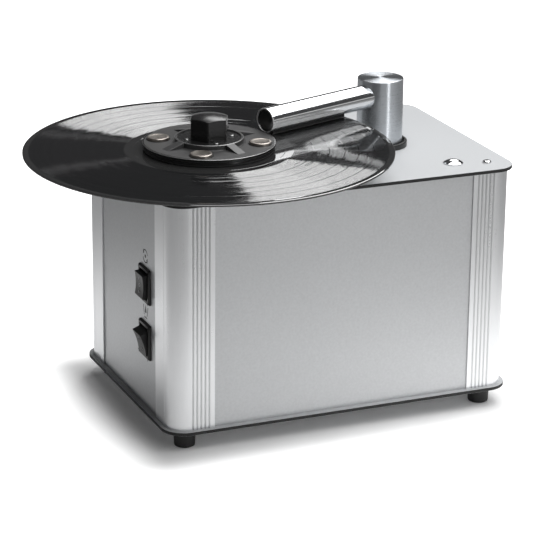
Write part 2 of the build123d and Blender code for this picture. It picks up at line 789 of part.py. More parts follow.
with BuildPart() as clamp_screws:
    thread = small_screw_diameter / 2
    screw_head = hub_screw_head_diameter / 2
    screw_top = hub_floor + hub_screw_head_height
    for place in screw_places:
        turn(place, [(0, hub_floor - hub_screw_length), (thread, hub_floor - hub_screw_length),
                     (thread, hub_floor), (screw_head, hub_floor), (screw_head, screw_top),
                     (0, screw_top)])
finish(clamp_screws, "clamp_screws")

# The knob is a hexagonal bar with a domed top, which leaves a scallop on each of its six sides.
knob_top = record_top + knob_rise
knob_radius = knob_corners / 2
with BuildPart() as clamp_knob:
    with BuildSketch(level(hub_floor, spindle)):
        hexagon = RegularPolygon(knob_radius, 6, rotation=knob_angle)
        fillet(hexagon.vertices(), knob_corner_round)
    extrude(amount=knob_top - hub_floor)
    with BuildSketch(side_view(spindle)):
        with BuildLine():
            TangentArc((0, knob_top), (knob_radius, knob_top - knob_dome), tangent=(1, 0))
            Polyline((knob_radius, knob_top - knob_dome), (knob_radius, hub_floor), (0, hub_floor),
                     (0, knob_top))
        make_face()
    revolve(axis=upright(spindle), mode=Mode.INTERSECT)
    with BuildSketch(level(hub_floor, spindle)):
        Circle(pin_bore)
    extrude(amount=pin_top + knob_pin_gap - hub_floor, mode=Mode.SUBTRACT)
finish(clamp_knob, "clamp_knob")

# ---------------------------------------------------------------------------------------------------
# Suction arm
# ---------------------------------------------------------------------------------------------------
tube_radius = tube_diameter / 2
tube_bore = tube_radius - tube_wall
stem_radius = stem_diameter / 2
stem_bore = stem_radius - stem_wall
post_bottom = deck + arm_post_gap
stem_top = post_bottom + arm_post_bore_depth
post_top = tube_axis_height + arm_post_crown
post_radius = arm_post_diameter / 2
tube_start = post_radius - tube_socket_depth
heading = (cos(radians(arm_heading)), sin(radians(arm_heading)), 0)
slot_start = arm_spacing - slot_outer_radius
slot_end = tube_reach - plug_recess - plug_thickness


def across_tube(distance):
    """A plane square to the arm's tube at a distance from the post's axis, its Y axis up."""
    origin = (arm[0] + heading[0] * distance, arm[1] + heading[1] * distance, tube_axis_height)
    return Plane(origin=origin, x_dir=(-heading[1], heading[0], 0), z_dir=heading)


with BuildPart() as arm_tube:
    with BuildSketch(across_tube(tube_start)):
        Circle(tube_radius)
        Circle(tube_bore, mode=Mode.SUBTRACT)
    extrude(amount=tube_reach - tube_start)
    with BuildSketch(across_tube(slot_start)):
        with Locations((0, -tube_radius)):
            Rectangle(slot_width, tube_radius)
    extrude(amount=slot_end - slot_start, mode=Mode.SUBTRACT)
finish(arm_tube, "arm_tube")

with BuildPart() as tube_plug:
    with BuildSketch(across_tube(slot_end)):
        Circle(tube_bore - seat_fit)
    extrude(amount=plug_thickness)
finish(tube_plug, "tube_plug")

with BuildPart() as arm_strips:
    with BuildSketch(across_tube(slot_start)):
        with Locations(*[(side * (slot_width + strip_width) / 2, -tube_radius - strip_thickness)
                         for side in (-1, 1)]):
            Rectangle(strip_width, strip_thickness + strip_lap, align=(Align.CENTER, Align.MIN))
        Circle(tube_radius, mode=Mode.SUBTRACT)
    extrude(amount=slot_end - slot_start)
finish(arm_strips, "arm_strips")

with BuildPart() as arm_post:
    turn(arm, [(stem_radius + stem_fit, post_bottom), (post_radius, post_bottom),
               (post_radius, post_top - arm_post_chamfer), (post_radius - arm_post_chamfer, post_top),
               (arm_post_centre_mark, post_top), (0, post_top - arm_post_centre_mark),
               (0, tube_axis_height + tube_bore / 2), (stem_bore, tube_axis_height + tube_bore / 2),
               (stem_bore, stem_top), (stem_radius + stem_fit, stem_top)])
    with BuildSketch(across_tube(tube_start)):
        Circle(tube_radius + seat_fit)
    extrude(amount=post_radius, mode=Mode.SUBTRACT)
    with BuildSketch(across_tube(0)):
        Circle(tube_bore)
    extrude(amount=tube_start, mode=Mode.SUBTRACT)
finish(arm_post, "arm_post")

with BuildPart() as arm_ring:
    tube_between(arm, deck, deck + ring_height, ring_diameter, ring_bore)
    top_edges = arm_ring.edges().group_by(Axis.Z)[-1]
    chamfer(top_edges, ring_chamfer)
finish(arm_ring, "arm_ring")

# The guide hangs in the deck by a flange below it. A seal ring lies in a groove of its bore.
guide_bottom = roof - guide_drop
guide_bore = stem_radius + stem_fit
seal_middle = guide_bottom + guide_drop / 2
with BuildPart() as arm_guide:
    flange = guide_flange_diameter / 2
    groove = guide_bore + seal_section
    turn(arm, [(guide_bore, guide_bottom), (guide_diameter / 2, guide_bottom),
               (guide_diameter / 2, roof - guide_flange_thickness),
               (flange, roof - guide_flange_thickness), (flange, roof), (guide_diameter / 2, roof),
               (guide_diameter / 2, deck), (guide_bore, deck),
               (guide_bore, seal_middle + seal_section / 2), (groove, seal_middle + seal_section / 2),
               (groove, seal_middle - seal_section / 2), (guide_bore, seal_middle - seal_section / 2)])
finish(arm_guide, "arm_guide")

with BuildPart() as stem_seal:
    reach = guide_bore + seal_section - seal_gap
    tube_between(arm, seal_middle - seal_section / 2, seal_middle + seal_section / 2, 2 * reach,
                     2 * guide_bore)
    chamfer(stem_seal.edges(), seal_edge)
finish(stem_seal, "stem_seal")

collar_top = guide_bottom - arm_lift_travel - arm_post_gap
lid_top = roof - tank_lid_drop
stem_bottom = lid_top - socket_engagement
with BuildPart() as arm_stem:
    tube_between(arm, stem_bottom, stem_top, stem_diameter, 2 * stem_bore)
finish(arm_stem, "arm_stem")

with BuildPart() as stem_collar:
    tube_between(arm, collar_top - collar_thickness, collar_top, collar_diameter,
                     2 * (stem_radius + seat_fit))
finish(stem_collar, "stem_collar")

# ---------------------------------------------------------------------------------------------------
# Waste tank
# ---------------------------------------------------------------------------------------------------
tank_length = cabinet_width - tank_left_gap - tank_right_gap
tank_width = cabinet_depth - tank_front_gap - tank_rear_gap
tank_mid = (cabinet_left + tank_left_gap + tank_length / 2,
            cabinet_front + tank_front_gap + tank_width / 2)
tank_bottom = base_top + tank_floor_rise
lid_bottom = lid_top - tank_lid_thickness
pipe_outer = standpipe_diameter / 2
pipe_inner = pipe_outer - standpipe_wall
socket_bore = stem_radius + socket_clearance

with BuildPart() as waste_tank:
    with BuildSketch(level(tank_bottom, tank_mid)):
        RectangleRounded(tank_length, tank_width, tank_corner_radius)
    extrude(amount=lid_bottom - tank_bottom)
    with BuildSketch(level(tank_bottom + tank_wall, tank_mid)):
        RectangleRounded(tank_length - 2 * tank_wall, tank_width - 2 * tank_wall,
                         tank_corner_radius - tank_wall)
    extrude(amount=lid_bottom - tank_bottom, mode=Mode.SUBTRACT)
    with BuildSketch(level(tank_bottom, blower)):
        Circle(pipe_outer)
    extrude(amount=lid_bottom - standpipe_gap - tank_bottom)
    with BuildSketch(level(tank_bottom, blower)):
        Circle(pipe_inner)
    extrude(amount=lid_bottom - tank_bottom, mode=Mode.SUBTRACT)
finish(waste_tank, "waste_tank")

with BuildPart() as tank_lid:
    with BuildSketch(level(lid_bottom, tank_mid)):
        RectangleRounded(tank_length, tank_width, tank_corner_radius)
    extrude(amount=tank_lid_thickness)
    with BuildSketch(level(lid_bottom)):
        with Locations(arm):
            Circle(socket_bore + socket_wall)
    extrude(amount=tank_lid_thickness - socket_drop)
    with BuildSketch(level(lid_top)):
        with Locations(tank_plug_place):
            Circle(neck_diameter / 2)
    extrude(amount=roof - neck_gap - lid_top)
    with BuildSketch(level(lid_top - socket_drop)):
        with Locations(arm):
            Circle(socket_bore)
    extrude(amount=socket_drop, mode=Mode.SUBTRACT)
    with BuildSketch(level(lid_bottom)):
        with Locations(tank_plug_place):
            Circle(plug_hole_radius)
    extrude(amount=roof - lid_bottom, mode=Mode.SUBTRACT)
finish(tank_lid, "tank_lid")

tank_dx = tank_length / 2 - tank_post_inset
tank_dy = tank_width / 2 - tank_post_inset
with BuildPart() as tank_posts:
    for dx in (-tank_dx, tank_dx):
        for dy in (-tank_dy, tank_dy):
            rod_between((tank_mid[0] + dx, tank_mid[1] + dy), base_top, tank_bottom, tank_post_diameter)
finish(tank_posts, "tank_posts")

# The plug's domed head lies on the deck and its stem closes the tank's neck.
with BuildPart() as tank_plug:
    edge = tank_plug_diameter / 2
    stem = tank_plug_stem_diameter / 2
    stem_end = deck - tank_plug_stem_length
    dome_top = deck + tank_plug_height
    with BuildSketch(side_view(tank_plug_place)):
        with BuildLine():
            TangentArc((0, dome_top), (edge, deck + tank_plug_rim), tangent=(1, 0))
            Polyline((edge, deck + tank_plug_rim), (edge, deck), (stem, deck), (stem, stem_end),
                     (0, stem_end), (0, dome_top))
        make_face()
    revolve(axis=upright(tank_plug_place))
finish(tank_plug, "tank_plug")

# ---------------------------------------------------------------------------------------------------
# Suction blower
# ---------------------------------------------------------------------------------------------------
motor_bottom = base_top + blower_mount_height
cover_top = chamber_top + fan_cover_thickness
fan_radius = fan_chamber_diameter / 2
eye_radius = fan_eye_diameter / 2
impeller_bottom = chamber_bottom + fan_wall + impeller_gap
impeller_top = impeller_bottom + impeller_height
impeller_radius = impeller_diameter / 2
blower_bore = blower_shaft_diameter / 2 + shaft_fit
mount_circle = blower_motor_diameter / 2 - blower_mount_inset
mount_places = [polar(blower, mount_circle, 45 + number * 90) for number in range(4)]
rotor_bottom = chamber_bottom - blower_bore_depth + shaft_end_gap

with BuildPart() as blower_mounts:
    for place in mount_places:
        rod_between(place, base_top, motor_bottom, blower_mount_diameter)
finish(blower_mounts, "blower_mounts")

with BuildPart() as blower_motor:
    rod_between(blower, motor_bottom, chamber_bottom, blower_motor_diameter)
    chamfer(blower_motor.edges().group_by(Axis.Z)[0], blower_motor_chamfer)
    with BuildSketch(level(chamber_bottom, blower)):
        Circle(blower_bore)
    extrude(amount=-blower_bore_depth, mode=Mode.SUBTRACT)
finish(blower_motor, "blower_motor")

# The fan chamber is a round pan with an outlet that runs back to the grille.
exhaust_x = exhaust_place[0]
panel_inner = rear_face - panel_thickness
with BuildPart() as blower_housing:
    with BuildSketch(level(chamber_bottom)):
        with Locations(blower):
            Circle(fan_radius)
        with Locations((exhaust_x, (blower[1] + panel_inner) / 2)):
            Rectangle(exhaust_width, panel_inner - blower[1])
    extrude(amount=fan_chamber_height)
    with BuildSketch(level(chamber_bottom + fan_wall)):
        with Locations(blower):
            Circle(fan_radius - fan_wall)
    extrude(amount=fan_chamber_height, mode=Mode.SUBTRACT)
    with BuildSketch(level(chamber_bottom + exhaust_wall)):
        with Locations((exhaust_x, (blower[1] + panel_inner) / 2)):
            Rectangle(exhaust_width - 2 * exhaust_wall, panel_inner - blower[1])
    extrude(amount=fan_chamber_height - 2 * exhaust_wall, mode=Mode.SUBTRACT)
    with BuildSketch(level(chamber_bottom, blower)):
        Circle(blower_bore)
    extrude(amount=fan_wall, mode=Mode.SUBTRACT)
finish(blower_housing, "blower_housing")

with BuildPart() as blower_cover:
    turn(blower, [(eye_radius, chamber_top), (fan_radius, chamber_top), (fan_radius, cover_top),
                  (eye_radius + fan_wall, cover_top), (eye_radius + fan_wall, tank_bottom),
                  (eye_radius, tank_bottom)])
finish(blower_cover, "blower_cover")

# A closed impeller: two discs with blades that lean back between them, on a hub that carries the shaft.
with BuildPart() as impeller:
    hub = impeller_hub_diameter / 2
    shaft = blower_shaft_diameter / 2
    hub_end = impeller_top - impeller_hub_top
    disc_top = impeller_bottom + impeller_disc
    turn(blower, [(0, rotor_bottom), (shaft, rotor_bottom), (shaft, impeller_bottom),
                  (impeller_radius, impeller_bottom), (impeller_radius, disc_top), (hub, disc_top),
                  (hub, hub_end - impeller_nose), (hub - impeller_nose, hub_end), (0, hub_end)])
    tube_between(blower, impeller_top - impeller_disc, impeller_top, impeller_diameter, fan_eye_diameter)
    with BuildSketch(level(impeller_bottom + impeller_disc / 2)):
        for number in range(impeller_blades):
            root = number * 360 / impeller_blades
            blade_end = impeller_radius - impeller_blade_thickness
            with BuildLine():
                vane = ThreePointArc(polar(blower, eye_radius, root),
                                     polar(blower, (eye_radius + blade_end) / 2, root - impeller_sweep / 3),
                                     polar(blower, blade_end, root - impeller_sweep))
            trace(vane, line_width=impeller_blade_thickness)
    extrude(amount=impeller_height - impeller_disc)
finish(impeller, "impeller")

with BuildPart() as exhaust_grille:
    with BuildSketch(rear_view(exhaust_place, rear_face)):
        RectangleRounded(grille_width, grille_height, grille_corner)
        with GridLocations(0, grille_slot_pitch, 1, grille_slots):
            SlotOverall(exhaust_width - 2 * exhaust_wall, grille_slot_height, mode=Mode.SUBTRACT)
    extrude(amount=grille_thickness)
finish(exhaust_grille, "exhaust_grille")

# ---------------------------------------------------------------------------------------------------
# Mains inlet and power board
# ---------------------------------------------------------------------------------------------------
inlet_plane = rear_view(inlet_place, rear_face)
with BuildPart() as mains_inlet:
    with BuildSketch(inlet_plane):
        RectangleRounded(inlet_flange_width, inlet_flange_height, inlet_flange_corner)
    extrude(amount=inlet_flange_thickness)
    with BuildSketch(inlet_plane):
        Rectangle(inlet_body_width, inlet_body_height)
    extrude(amount=inlet_flange_thickness - inlet_body_depth)
    with BuildSketch(inlet_plane.offset(inlet_flange_thickness)):
        cavity = Rectangle(inlet_cavity_width, inlet_cavity_height)
        chamfer(cavity.vertices().group_by(Axis.Y)[-1], inlet_corner)
    extrude(amount=-inlet_cavity_depth, mode=Mode.SUBTRACT)
finish(mains_inlet, "mains_inlet")

cavity_floor = rear_face + inlet_flange_thickness - inlet_cavity_depth
with BuildPart() as inlet_pins:
    with BuildSketch(rear_view(inlet_place, cavity_floor)):
        with Locations((-inlet_pin_pitch, -inlet_line_drop), (inlet_pin_pitch, -inlet_line_drop),
                       (0, inlet_earth_rise)):
            Rectangle(inlet_pin_thickness, inlet_pin_width)
    extrude(amount=inlet_pin_length)
finish(inlet_pins, "inlet_pins")

board_left = cabinet_left + board_left_gap
board_mid = (board_left + board_length / 2, cabinet_rear - board_rear_gap - board_width / 2)
board_bottom = base_top + board_rise
board_top = board_bottom + board_thickness
board_dx = board_length - 2 * board_hole_inset
board_dy = board_width - 2 * board_hole_inset
with BuildPart() as power_board:
    with BuildSketch(level(board_bottom, board_mid)):
        Rectangle(board_length, board_width)
        with GridLocations(board_dx, board_dy, 2, 2):
            Circle(small_screw_diameter / 2 + screw_hole_clearance, mode=Mode.SUBTRACT)
    extrude(amount=board_thickness)
finish(power_board, "power_board")

with BuildPart() as board_spacers:
    with BuildSketch(level(base_top, board_mid)):
        with GridLocations(board_dx, board_dy, 2, 2):
            RegularPolygon(board_spacer_diameter / 2, 6)
    extrude(amount=board_rise)
finish(board_spacers, "board_spacers")

transformer_place = (board_left + transformer_inset + transformer_length / 2, board_mid[1])
capacitor_place = (board_mid[0] + board_length / 2 - board_hole_inset - capacitor_diameter / 2, board_mid[1])
with BuildPart() as transformer:
    with BuildSketch(level(board_top, transformer_place)):
        Rectangle(transformer_length, transformer_width)
    extrude(amount=transformer_height)
    with BuildSketch(level(board_top + (transformer_height - coil_height) / 2, transformer_place)):
        RectangleRounded(coil_length, transformer_width + 2 * coil_overhang, coil_corner)
    extrude(amount=coil_height)
finish(transformer, "transformer")

with BuildPart() as capacitor:
    rod_between(capacitor_place, board_top, board_top + capacitor_height, capacitor_diameter)
    fillet(capacitor.edges().group_by(Axis.Z)[-1], capacitor_edge)
finish(capacitor, "capacitor")

# ---------------------------------------------------------------------------------------------------
# Rocker switches
# ---------------------------------------------------------------------------------------------------
bezel_face = left_face - bezel_thickness
pivot_x = bezel_face + rocker_pivot_depth
body_end = left_face + switch_body_depth
face_stand = rocker_pivot_depth + rocker_stand + rocker_end_stand  # of the rocker's ends before its pivot
throw = radians(rocker_throw)
rocker_swing = rocker_length / 2 * cos(throw) + face_stand * sin(throw)
well_width = rocker_width + 2 * rocker_gap
well_length = 2 * (rocker_swing + rocker_gap)
pivot_length = rocker_width + 2 * rocker_gap + 2 * rocker_pivot_reach


def switch_frame(height):
    """A switch's frame: a bevelled bezel on the panel and a body behind it, with a well for the rocker."""
    bezel_plane = Plane(origin=(left_face, switch_y, height), x_dir=(0, -1, 0), z_dir=(-1, 0, 0))
    with BuildPart() as frame:
        with BuildSketch(bezel_plane):
            RectangleRounded(bezel_width, bezel_height, bezel_corner)
        extrude(amount=bezel_thickness)
        chamfer(frame.faces().sort_by(Axis.X)[0].edges(), bezel_bevel)
        with BuildSketch(bezel_plane):
            Rectangle(switch_body_width, switch_body_height)
        extrude(amount=-switch_body_depth)
        with BuildSketch(bezel_plane.offset(bezel_thickness)):
            Rectangle(well_width, well_length)
        extrude(amount=-rocker_well_depth, mode=Mode.SUBTRACT)
        with BuildSketch(Plane(origin=(pivot_x, switch_y, height), x_dir=(1, 0, 0), z_dir=(0, -1, 0))):
            Circle(rocker_pivot_diameter / 2 + rocker_pivot_fit)
        extrude(amount=pivot_length / 2 + rocker_gap, both=True, mode=Mode.SUBTRACT)
    return frame


def rocker(height, tilt):
    """A rocker on its pivot: a waisted face with flared ends on a rounded body, turned by a tilt."""
    lean = radians(tilt)
    end = Plane(origin=(pivot_x, switch_y, height), x_dir=(-cos(lean), 0, -sin(lean)), z_dir=(0, 1, 0))
    half = rocker_length / 2
    with BuildPart() as part:
        with BuildSketch(end):
            with BuildLine():
                Polyline((0, half + rocker_flare), (face_stand, half), (face_stand - rocker_end_stand, 0),
                         (face_stand, -half), (0, -half - rocker_flare))
                ThreePointArc((0, -half - rocker_flare), (-rocker_back, 0), (0, half + rocker_flare))
            make_face()
        extrude(amount=rocker_width / 2, both=True)
        with BuildSketch(end):
            Circle(rocker_pivot_diameter / 2)
        extrude(amount=pivot_length / 2, both=True)
    return part


motor_switch_frame = switch_frame(switch_heights["motor"])
finish(motor_switch_frame, "motor_switch_frame")
vacuum_switch_frame = switch_frame(switch_heights["vacuum"])
finish(vacuum_switch_frame, "vacuum_switch_frame")
motor_rocker = rocker(switch_heights["motor"], 0)
finish(motor_rocker, "motor_rocker")
vacuum_rocker = rocker(switch_heights["vacuum"], rocker_throw)
finish(vacuum_rocker, "vacuum_rocker")

with BuildPart() as switch_terminals:
    with BuildSketch(Plane.YZ.offset(body_end)):
        for height in switch_heights.values():
            with Locations(*[(switch_y, height + step * terminal_pitch) for step in (-1, 0, 1)]):
                Rectangle(terminal_width, terminal_thickness)
    extrude(amount=terminal_length)
finish(switch_terminals, "switch_terminals")
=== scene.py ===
from math import cos, pi, radians, sin, tan
from random import Random

import bmesh
import bpy
from mathutils import Matrix, Vector


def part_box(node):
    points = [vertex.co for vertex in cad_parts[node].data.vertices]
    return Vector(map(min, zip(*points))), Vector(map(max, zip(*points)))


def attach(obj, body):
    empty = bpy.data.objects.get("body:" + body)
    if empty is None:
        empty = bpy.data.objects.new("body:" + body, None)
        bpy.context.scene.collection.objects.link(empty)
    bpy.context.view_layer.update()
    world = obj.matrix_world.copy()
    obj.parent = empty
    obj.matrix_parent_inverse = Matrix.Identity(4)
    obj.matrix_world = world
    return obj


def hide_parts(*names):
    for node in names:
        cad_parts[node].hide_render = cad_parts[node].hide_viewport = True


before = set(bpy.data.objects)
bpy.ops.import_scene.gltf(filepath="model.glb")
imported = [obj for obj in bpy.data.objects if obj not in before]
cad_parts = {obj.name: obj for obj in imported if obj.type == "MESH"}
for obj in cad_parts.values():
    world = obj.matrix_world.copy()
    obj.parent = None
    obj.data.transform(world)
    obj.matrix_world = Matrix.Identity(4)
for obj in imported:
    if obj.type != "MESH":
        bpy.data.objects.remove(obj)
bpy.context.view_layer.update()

MILLIMETRE = 0.001
UP = Vector((0, 0, 1))
WHITE, BLACK = (1, 1, 1, 1), (0, 0, 0, 1)


def corners_of(node):
    """The lowest corner, the highest corner and the middle of a piece, in millimetres."""
    low, high = (Vector(corner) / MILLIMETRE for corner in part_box(node))
    return low, high, (low + high) / 2


def middle_of(node):
    """The middle of a piece, in millimetres."""
    return corners_of(node)[2]


# --------------------------------------------------------------------------------------------------
# Finishes
# --------------------------------------------------------------------------------------------------
class Number:
    """A value among nodes, which adds and multiplies like a number."""

    def __init__(self, nodes, socket):
        self.nodes = nodes
        self.socket = socket

    def math(self, operation, *others):
        return self.nodes.math(operation, self, *others)

    def __add__(self, other):
        return self.math("ADD", other)

    def __radd__(self, other):
        return self.nodes.math("ADD", other, self)

    def __sub__(self, other):
        return self.math("SUBTRACT", other)

    def __rsub__(self, other):
        return self.nodes.math("SUBTRACT", other, self)

    def __mul__(self, other):
        return self.math("MULTIPLY", other)

    def __rmul__(self, other):
        return self.nodes.math("MULTIPLY", other, self)

    def __pow__(self, other):
        return self.math("POWER", other)

    def __rpow__(self, other):
        return self.nodes.math("POWER", other, self)

    def step(self, low, high, start=0.0, end=1.0):
        """Runs smoothly from start to end while the value runs from low to high."""
        node = self.nodes.node("ShaderNodeMapRange", {"interpolation_type": "SMOOTHSTEP"},
                               {"Value": self, "From Min": low, "From Max": high,
                                "To Min": start, "To Max": end})
        return Number(self.nodes, node.outputs["Result"])


def distance(x, y):
    """How far a place is from the middle, from its two parts."""
    return (x * x + y * y) ** 0.5


class Nodes:
    """The nodes of a material or of the world."""

    def __init__(self, holder):
        holder.use_nodes = True
        self.tree = holder.node_tree

    def node(self, kind, settings, values):
        """Adds a node with its settings, and with a value or a link on each named socket."""
        node = self.tree.nodes.new(kind)
        for setting, value in settings.items():
            setattr(node, setting, value)
        for socket, value in values.items():
            self.feed(node.inputs[socket], value)
        return node

    def feed(self, target, value):
        """Sets a socket to a value, or links it."""
        if isinstance(value, Number):
            self.tree.links.new(value.socket, target)
        elif isinstance(value, bpy.types.NodeSocket):
            self.tree.links.new(value, target)
        else:
            target.default_value = value

    def math(self, operation, *values):
        node = self.node("ShaderNodeMath", {"operation": operation}, dict(enumerate(values)))
        return Number(self, node.outputs[0])

    def place(self, centre=(0, 0, 0), stretch=(1, 1, 1)):
        """The place on the object, in metres from a centre, for a pattern to read."""
        texture = self.node("ShaderNodeTexCoord", {}, {})
        mapping = self.node("ShaderNodeMapping", {"vector_type": "TEXTURE"},
                            {"Vector": texture.outputs["Object"], "Location": centre,
                             "Scale": stretch})
        return mapping.outputs["Vector"]

    def along(self, vector):
        """The three parts of a vector, as numbers."""
        split = self.node("ShaderNodeSeparateXYZ", {}, {"Vector": vector})
        return [Number(self, output) for output in split.outputs]

    def from_middle(self, node):
        """How far along each axis the place is from a piece's middle, in metres."""
        return self.along(self.place(centre=middle_of(node) * MILLIMETRE))

    def noise(self, vector, scale, detail=2.0):
        """Noise that changes in every direction."""
        node = self.node("ShaderNodeTexNoise", {},
                         {"Vector": vector, "Scale": scale, "Detail": detail, "Roughness": 0.5})
        return Number(self, node.outputs[0])

    def line_noise(self, value, scale, detail, roughness):
        """Noise that changes along one number only."""
        node = self.node("ShaderNodeTexNoise", {"noise_dimensions": "1D"},
                         {"W": value, "Scale": scale, "Detail": detail, "Roughness": roughness})
        return Number(self, node.outputs[0])

    def blend(self, factor, first, second):
        """A colour between two colours."""
        node = self.node("ShaderNodeMix", {"data_type": "RGBA"}, {0: factor, 6: first, 7: second})
        return node.outputs[2]

    def seen(self, share):
        """1 where the camera sees a thing directly, and a share where it sees it in or through another."""
        path = self.node("ShaderNodeLightPath", {}, {})
        seen = Number(self, path.outputs["Is Camera Ray"])
        for name in ("Is Glossy Ray", "Is Transmission Ray"):
            seen = seen.math("MAXIMUM", Number(self, path.outputs[name]) * share)
        return seen


class Finish(Nodes):
    """A material: one shader, and the nodes that feed it."""

    def __init__(self, name, fixed):
        self.material = bpy.data.materials.new(name)
        super().__init__(self.material)
        self.shader = self.tree.nodes["Principled BSDF"]
        for socket, value in fixed.items():
            self.shader.inputs[socket].default_value = value

    def colour(self, value):
        self.feed(self.shader.inputs["Base Color"], value)

    def roughness(self, value):
        self.feed(self.shader.inputs["Roughness"], value)

    def metallic(self, value):
        self.feed(self.shader.inputs["Metallic"], value)

    def relief(self, height, depth):
        """Raises the surface by a height of 0 to 1 times a depth in metres."""
        node = self.node("ShaderNodeBump", {}, {"Height": height, "Distance": depth, "Strength": 1.0})
        self.feed(self.shader.inputs["Normal"], node.outputs[0])


def grey(level, warmth=0.0):
    """A near-grey colour: its level, and how much redder than blue it is."""
    return (level * (1 + warmth), level, level * (1 - warmth), 1)


def satin_panel_alloy():
    """Matt anodised sheet, with a fine even grain."""
    finish = Finish("satin_panel_alloy", {"Metallic": 1.0})
    place = finish.place()
    grain = finish.noise(place, 1400, 3)
    cloud = finish.noise(place, 18)
    speckle = finish.noise(place, 480)
    shade = grain * 0.3 + cloud * 0.2 + (speckle - 0.5) * 0.9
    finish.colour(finish.blend(shade, grey(0.56, -0.015), grey(0.68, -0.015)))
    finish.roughness(0.34 + grain * 0.12 + cloud * 0.03 + speckle * 0.04)
    finish.relief(grain, 0.00001)
    return finish.material


def extruded_post_alloy():
    """Anodised extrusion with faint draw lines up the post, and painted shade down in its flutes."""
    finish = Finish("extruded_post_alloy", {"Metallic": 1.0})
    lines = finish.noise(finish.place(stretch=(1, 1, 60)), 900, 3)
    grain = finish.noise(finish.place(), 1300)
    low, high, _ = corners_of("base_plate")
    post_inset = Vector((4, 4, 0))
    half = ((high - low) / 2 - post_inset) * MILLIMETRE
    x, y, _ = finish.from_middle("base_plate")
    depth = half.y - y.math("ABSOLUTE")
    from_side = half.x - x.math("ABSOLUTE")
    # Mask of the front flutes, where shade is painted into the colour below.
    below_face = depth.step(0.00008, 0.0005) * depth.step(0.0008, 0.0009, 1.0, 0.0)
    flute = below_face * from_side.step(0.0168, 0.0172)
    drawn = finish.blend(lines * 0.7 + grain * 0.3, grey(0.86, -0.01), grey(0.93, -0.01))
    # Painted shade: the flutes are darkened a third of the way to dark grey.
    finish.colour(finish.blend(flute * 0.3, drawn, grey(0.2, -0.01)))
    finish.roughness(0.22 + lines * 0.1 + grain * 0.06)
    finish.relief(lines * 0.6 + grain * 0.4, 0.000012)
    return finish.material


def layered_plate():
    """A composite plate: bright lacquered skins on a black core."""
    finish = Finish("layered_plate", {"Specular IOR Level": 0.25})
    place = finish.place()
    height = finish.along(place)[2]
    skin = 0.14
    core = 0.0
    for plate in ("deck_plate", "base_plate"):
        low, high, _ = corners_of(plate)
        above = finish.math("GREATER_THAN", height, (low.z + skin) * MILLIMETRE)
        below = finish.math("LESS_THAN", height, (high.z - skin) * MILLIMETRE)
        core = core + above * below
    grain = finish.noise(place, 1500, 3)
    skin_colour = finish.blend(grain, grey(0.475, -0.022), grey(0.525, -0.022))
    finish.colour(finish.blend(core, skin_colour, grey(0.03)))
    finish.metallic(0.12 - core * 0.12)
    finish.roughness(0.5 + grain * 0.08)
    finish.relief(grain, 0.000008)
    return finish.material


def vinyl():
    """Pressed vinyl: glossy, with the grooves' fine streaks round it."""
    finish = Finish("vinyl", {"IOR": 2.2})
    x, y, _ = finish.from_middle("record")
    radius = distance(x, y)
    passage = finish.line_noise(radius, 260, 3, 0.7)
    streak = finish.line_noise(radius, 2600, 2, 0.8)
    grooved = radius.step(0.0685, 0.0695) * radius.step(0.1455, 0.1462, 1.0, 0.0)
    cut = finish.blend(passage * 0.6 + streak * 0.4, grey(0.001, -0.05), grey(0.012, -0.05))
    finish.colour(finish.blend(grooved, grey(0.026), cut))
    finish.roughness(0.05 + grooved * (passage * 0.03 + streak * 0.02 - 0.01))
    return finish.material


def dark_clamp():
    """Black-dyed alloy: satin on top, with fine turned rings, and glossier round its side, where shade is
    also painted in as a darker colour.
    """
    finish = Finish("dark_clamp", {"Specular IOR Level": 0.5})
    x, y, z = finish.from_middle("clamp_disc")
    radius = distance(x, y)
    side = radius.step(0.0525, 0.0530) * (1 - z.step(0.0005, 0.0007))
    rings = finish.line_noise(radius, 1800, 3, 0.7)
    grain = finish.noise(finish.place(), 700)
    texture = rings * 0.5 + grain * 0.5
    # Painted shade: the side is coloured near-black, darker than the satin top.
    finish.colour(finish.blend(side, finish.blend(texture, grey(0.038), grey(0.052)), grey(0.008)))
    finish.metallic(0.25 - side * 0.25)
    finish.roughness(0.36 + rings * 0.1 - side * 0.18)
    finish.relief(texture, 0.000006)
    return finish.material


def turned_alloy(node, level, rough):
    """Lathe-turned metal: fine rings up the side and round the top."""
    finish = Finish("turned_" + node,
                    {"Metallic": 1.0, "Anisotropic": 0.85, "Anisotropic Rotation": 0.25})
    x, y, z = finish.from_middle(node)
    rings = finish.line_noise(distance(x, y) + z, 2400, 3, 0.7)
    grain = finish.noise(finish.place(), 900)
    finish.colour(finish.blend(rings, grey(level - 0.05, -0.045), grey(level + 0.05, -0.045)))
    finish.roughness(rough + rings * 0.1 + grain * 0.04)
    finish.relief(rings, 0.00001)
    return finish.material


def bright_plating():
    """Polished chrome, with the faintest unevenness."""
    finish = Finish("bright_plating", {"Metallic": 1.0})
    cloud = finish.noise(finish.place(), 60)
    haze = finish.noise(finish.place(), 900)
    finish.colour(finish.blend(cloud, grey(0.80, -0.01), grey(0.88, -0.01)))
    finish.roughness(0.08 + cloud * 0.03 + haze * 0.02)
    return finish.material


def plain_metal(name, colour_low, colour_high, rough, scale=700, depth=0.000004):
    """Machined or plated metal with a fine grain."""
    finish = Finish(name, {"Metallic": 1.0})
    grain = finish.noise(finish.place(), scale, 3)
    cloud = finish.noise(finish.place(), scale / 20)
    finish.colour(finish.blend(grain * 0.6 + cloud * 0.4, colour_low, colour_high))
    finish.roughness(rough + grain * 0.12)
    finish.relief(grain, depth)
    return finish.material


def moulded(name, colour_low, colour_high, rough, scale=1200, depth=0.00002, fixed=None):
    """Moulded plastic or rubber with a fine texture."""
    finish = Finish(name, fixed or {})
    grain = finish.noise(finish.place(), scale)
    cloud = finish.noise(finish.place(), scale / 40, 3)
    finish.colour(finish.blend(grain * 0.5 + cloud * 0.5, colour_low, colour_high))
    finish.roughness(rough + grain * 0.08 + cloud * 0.06)
    finish.relief(grain, depth)
    return finish.material


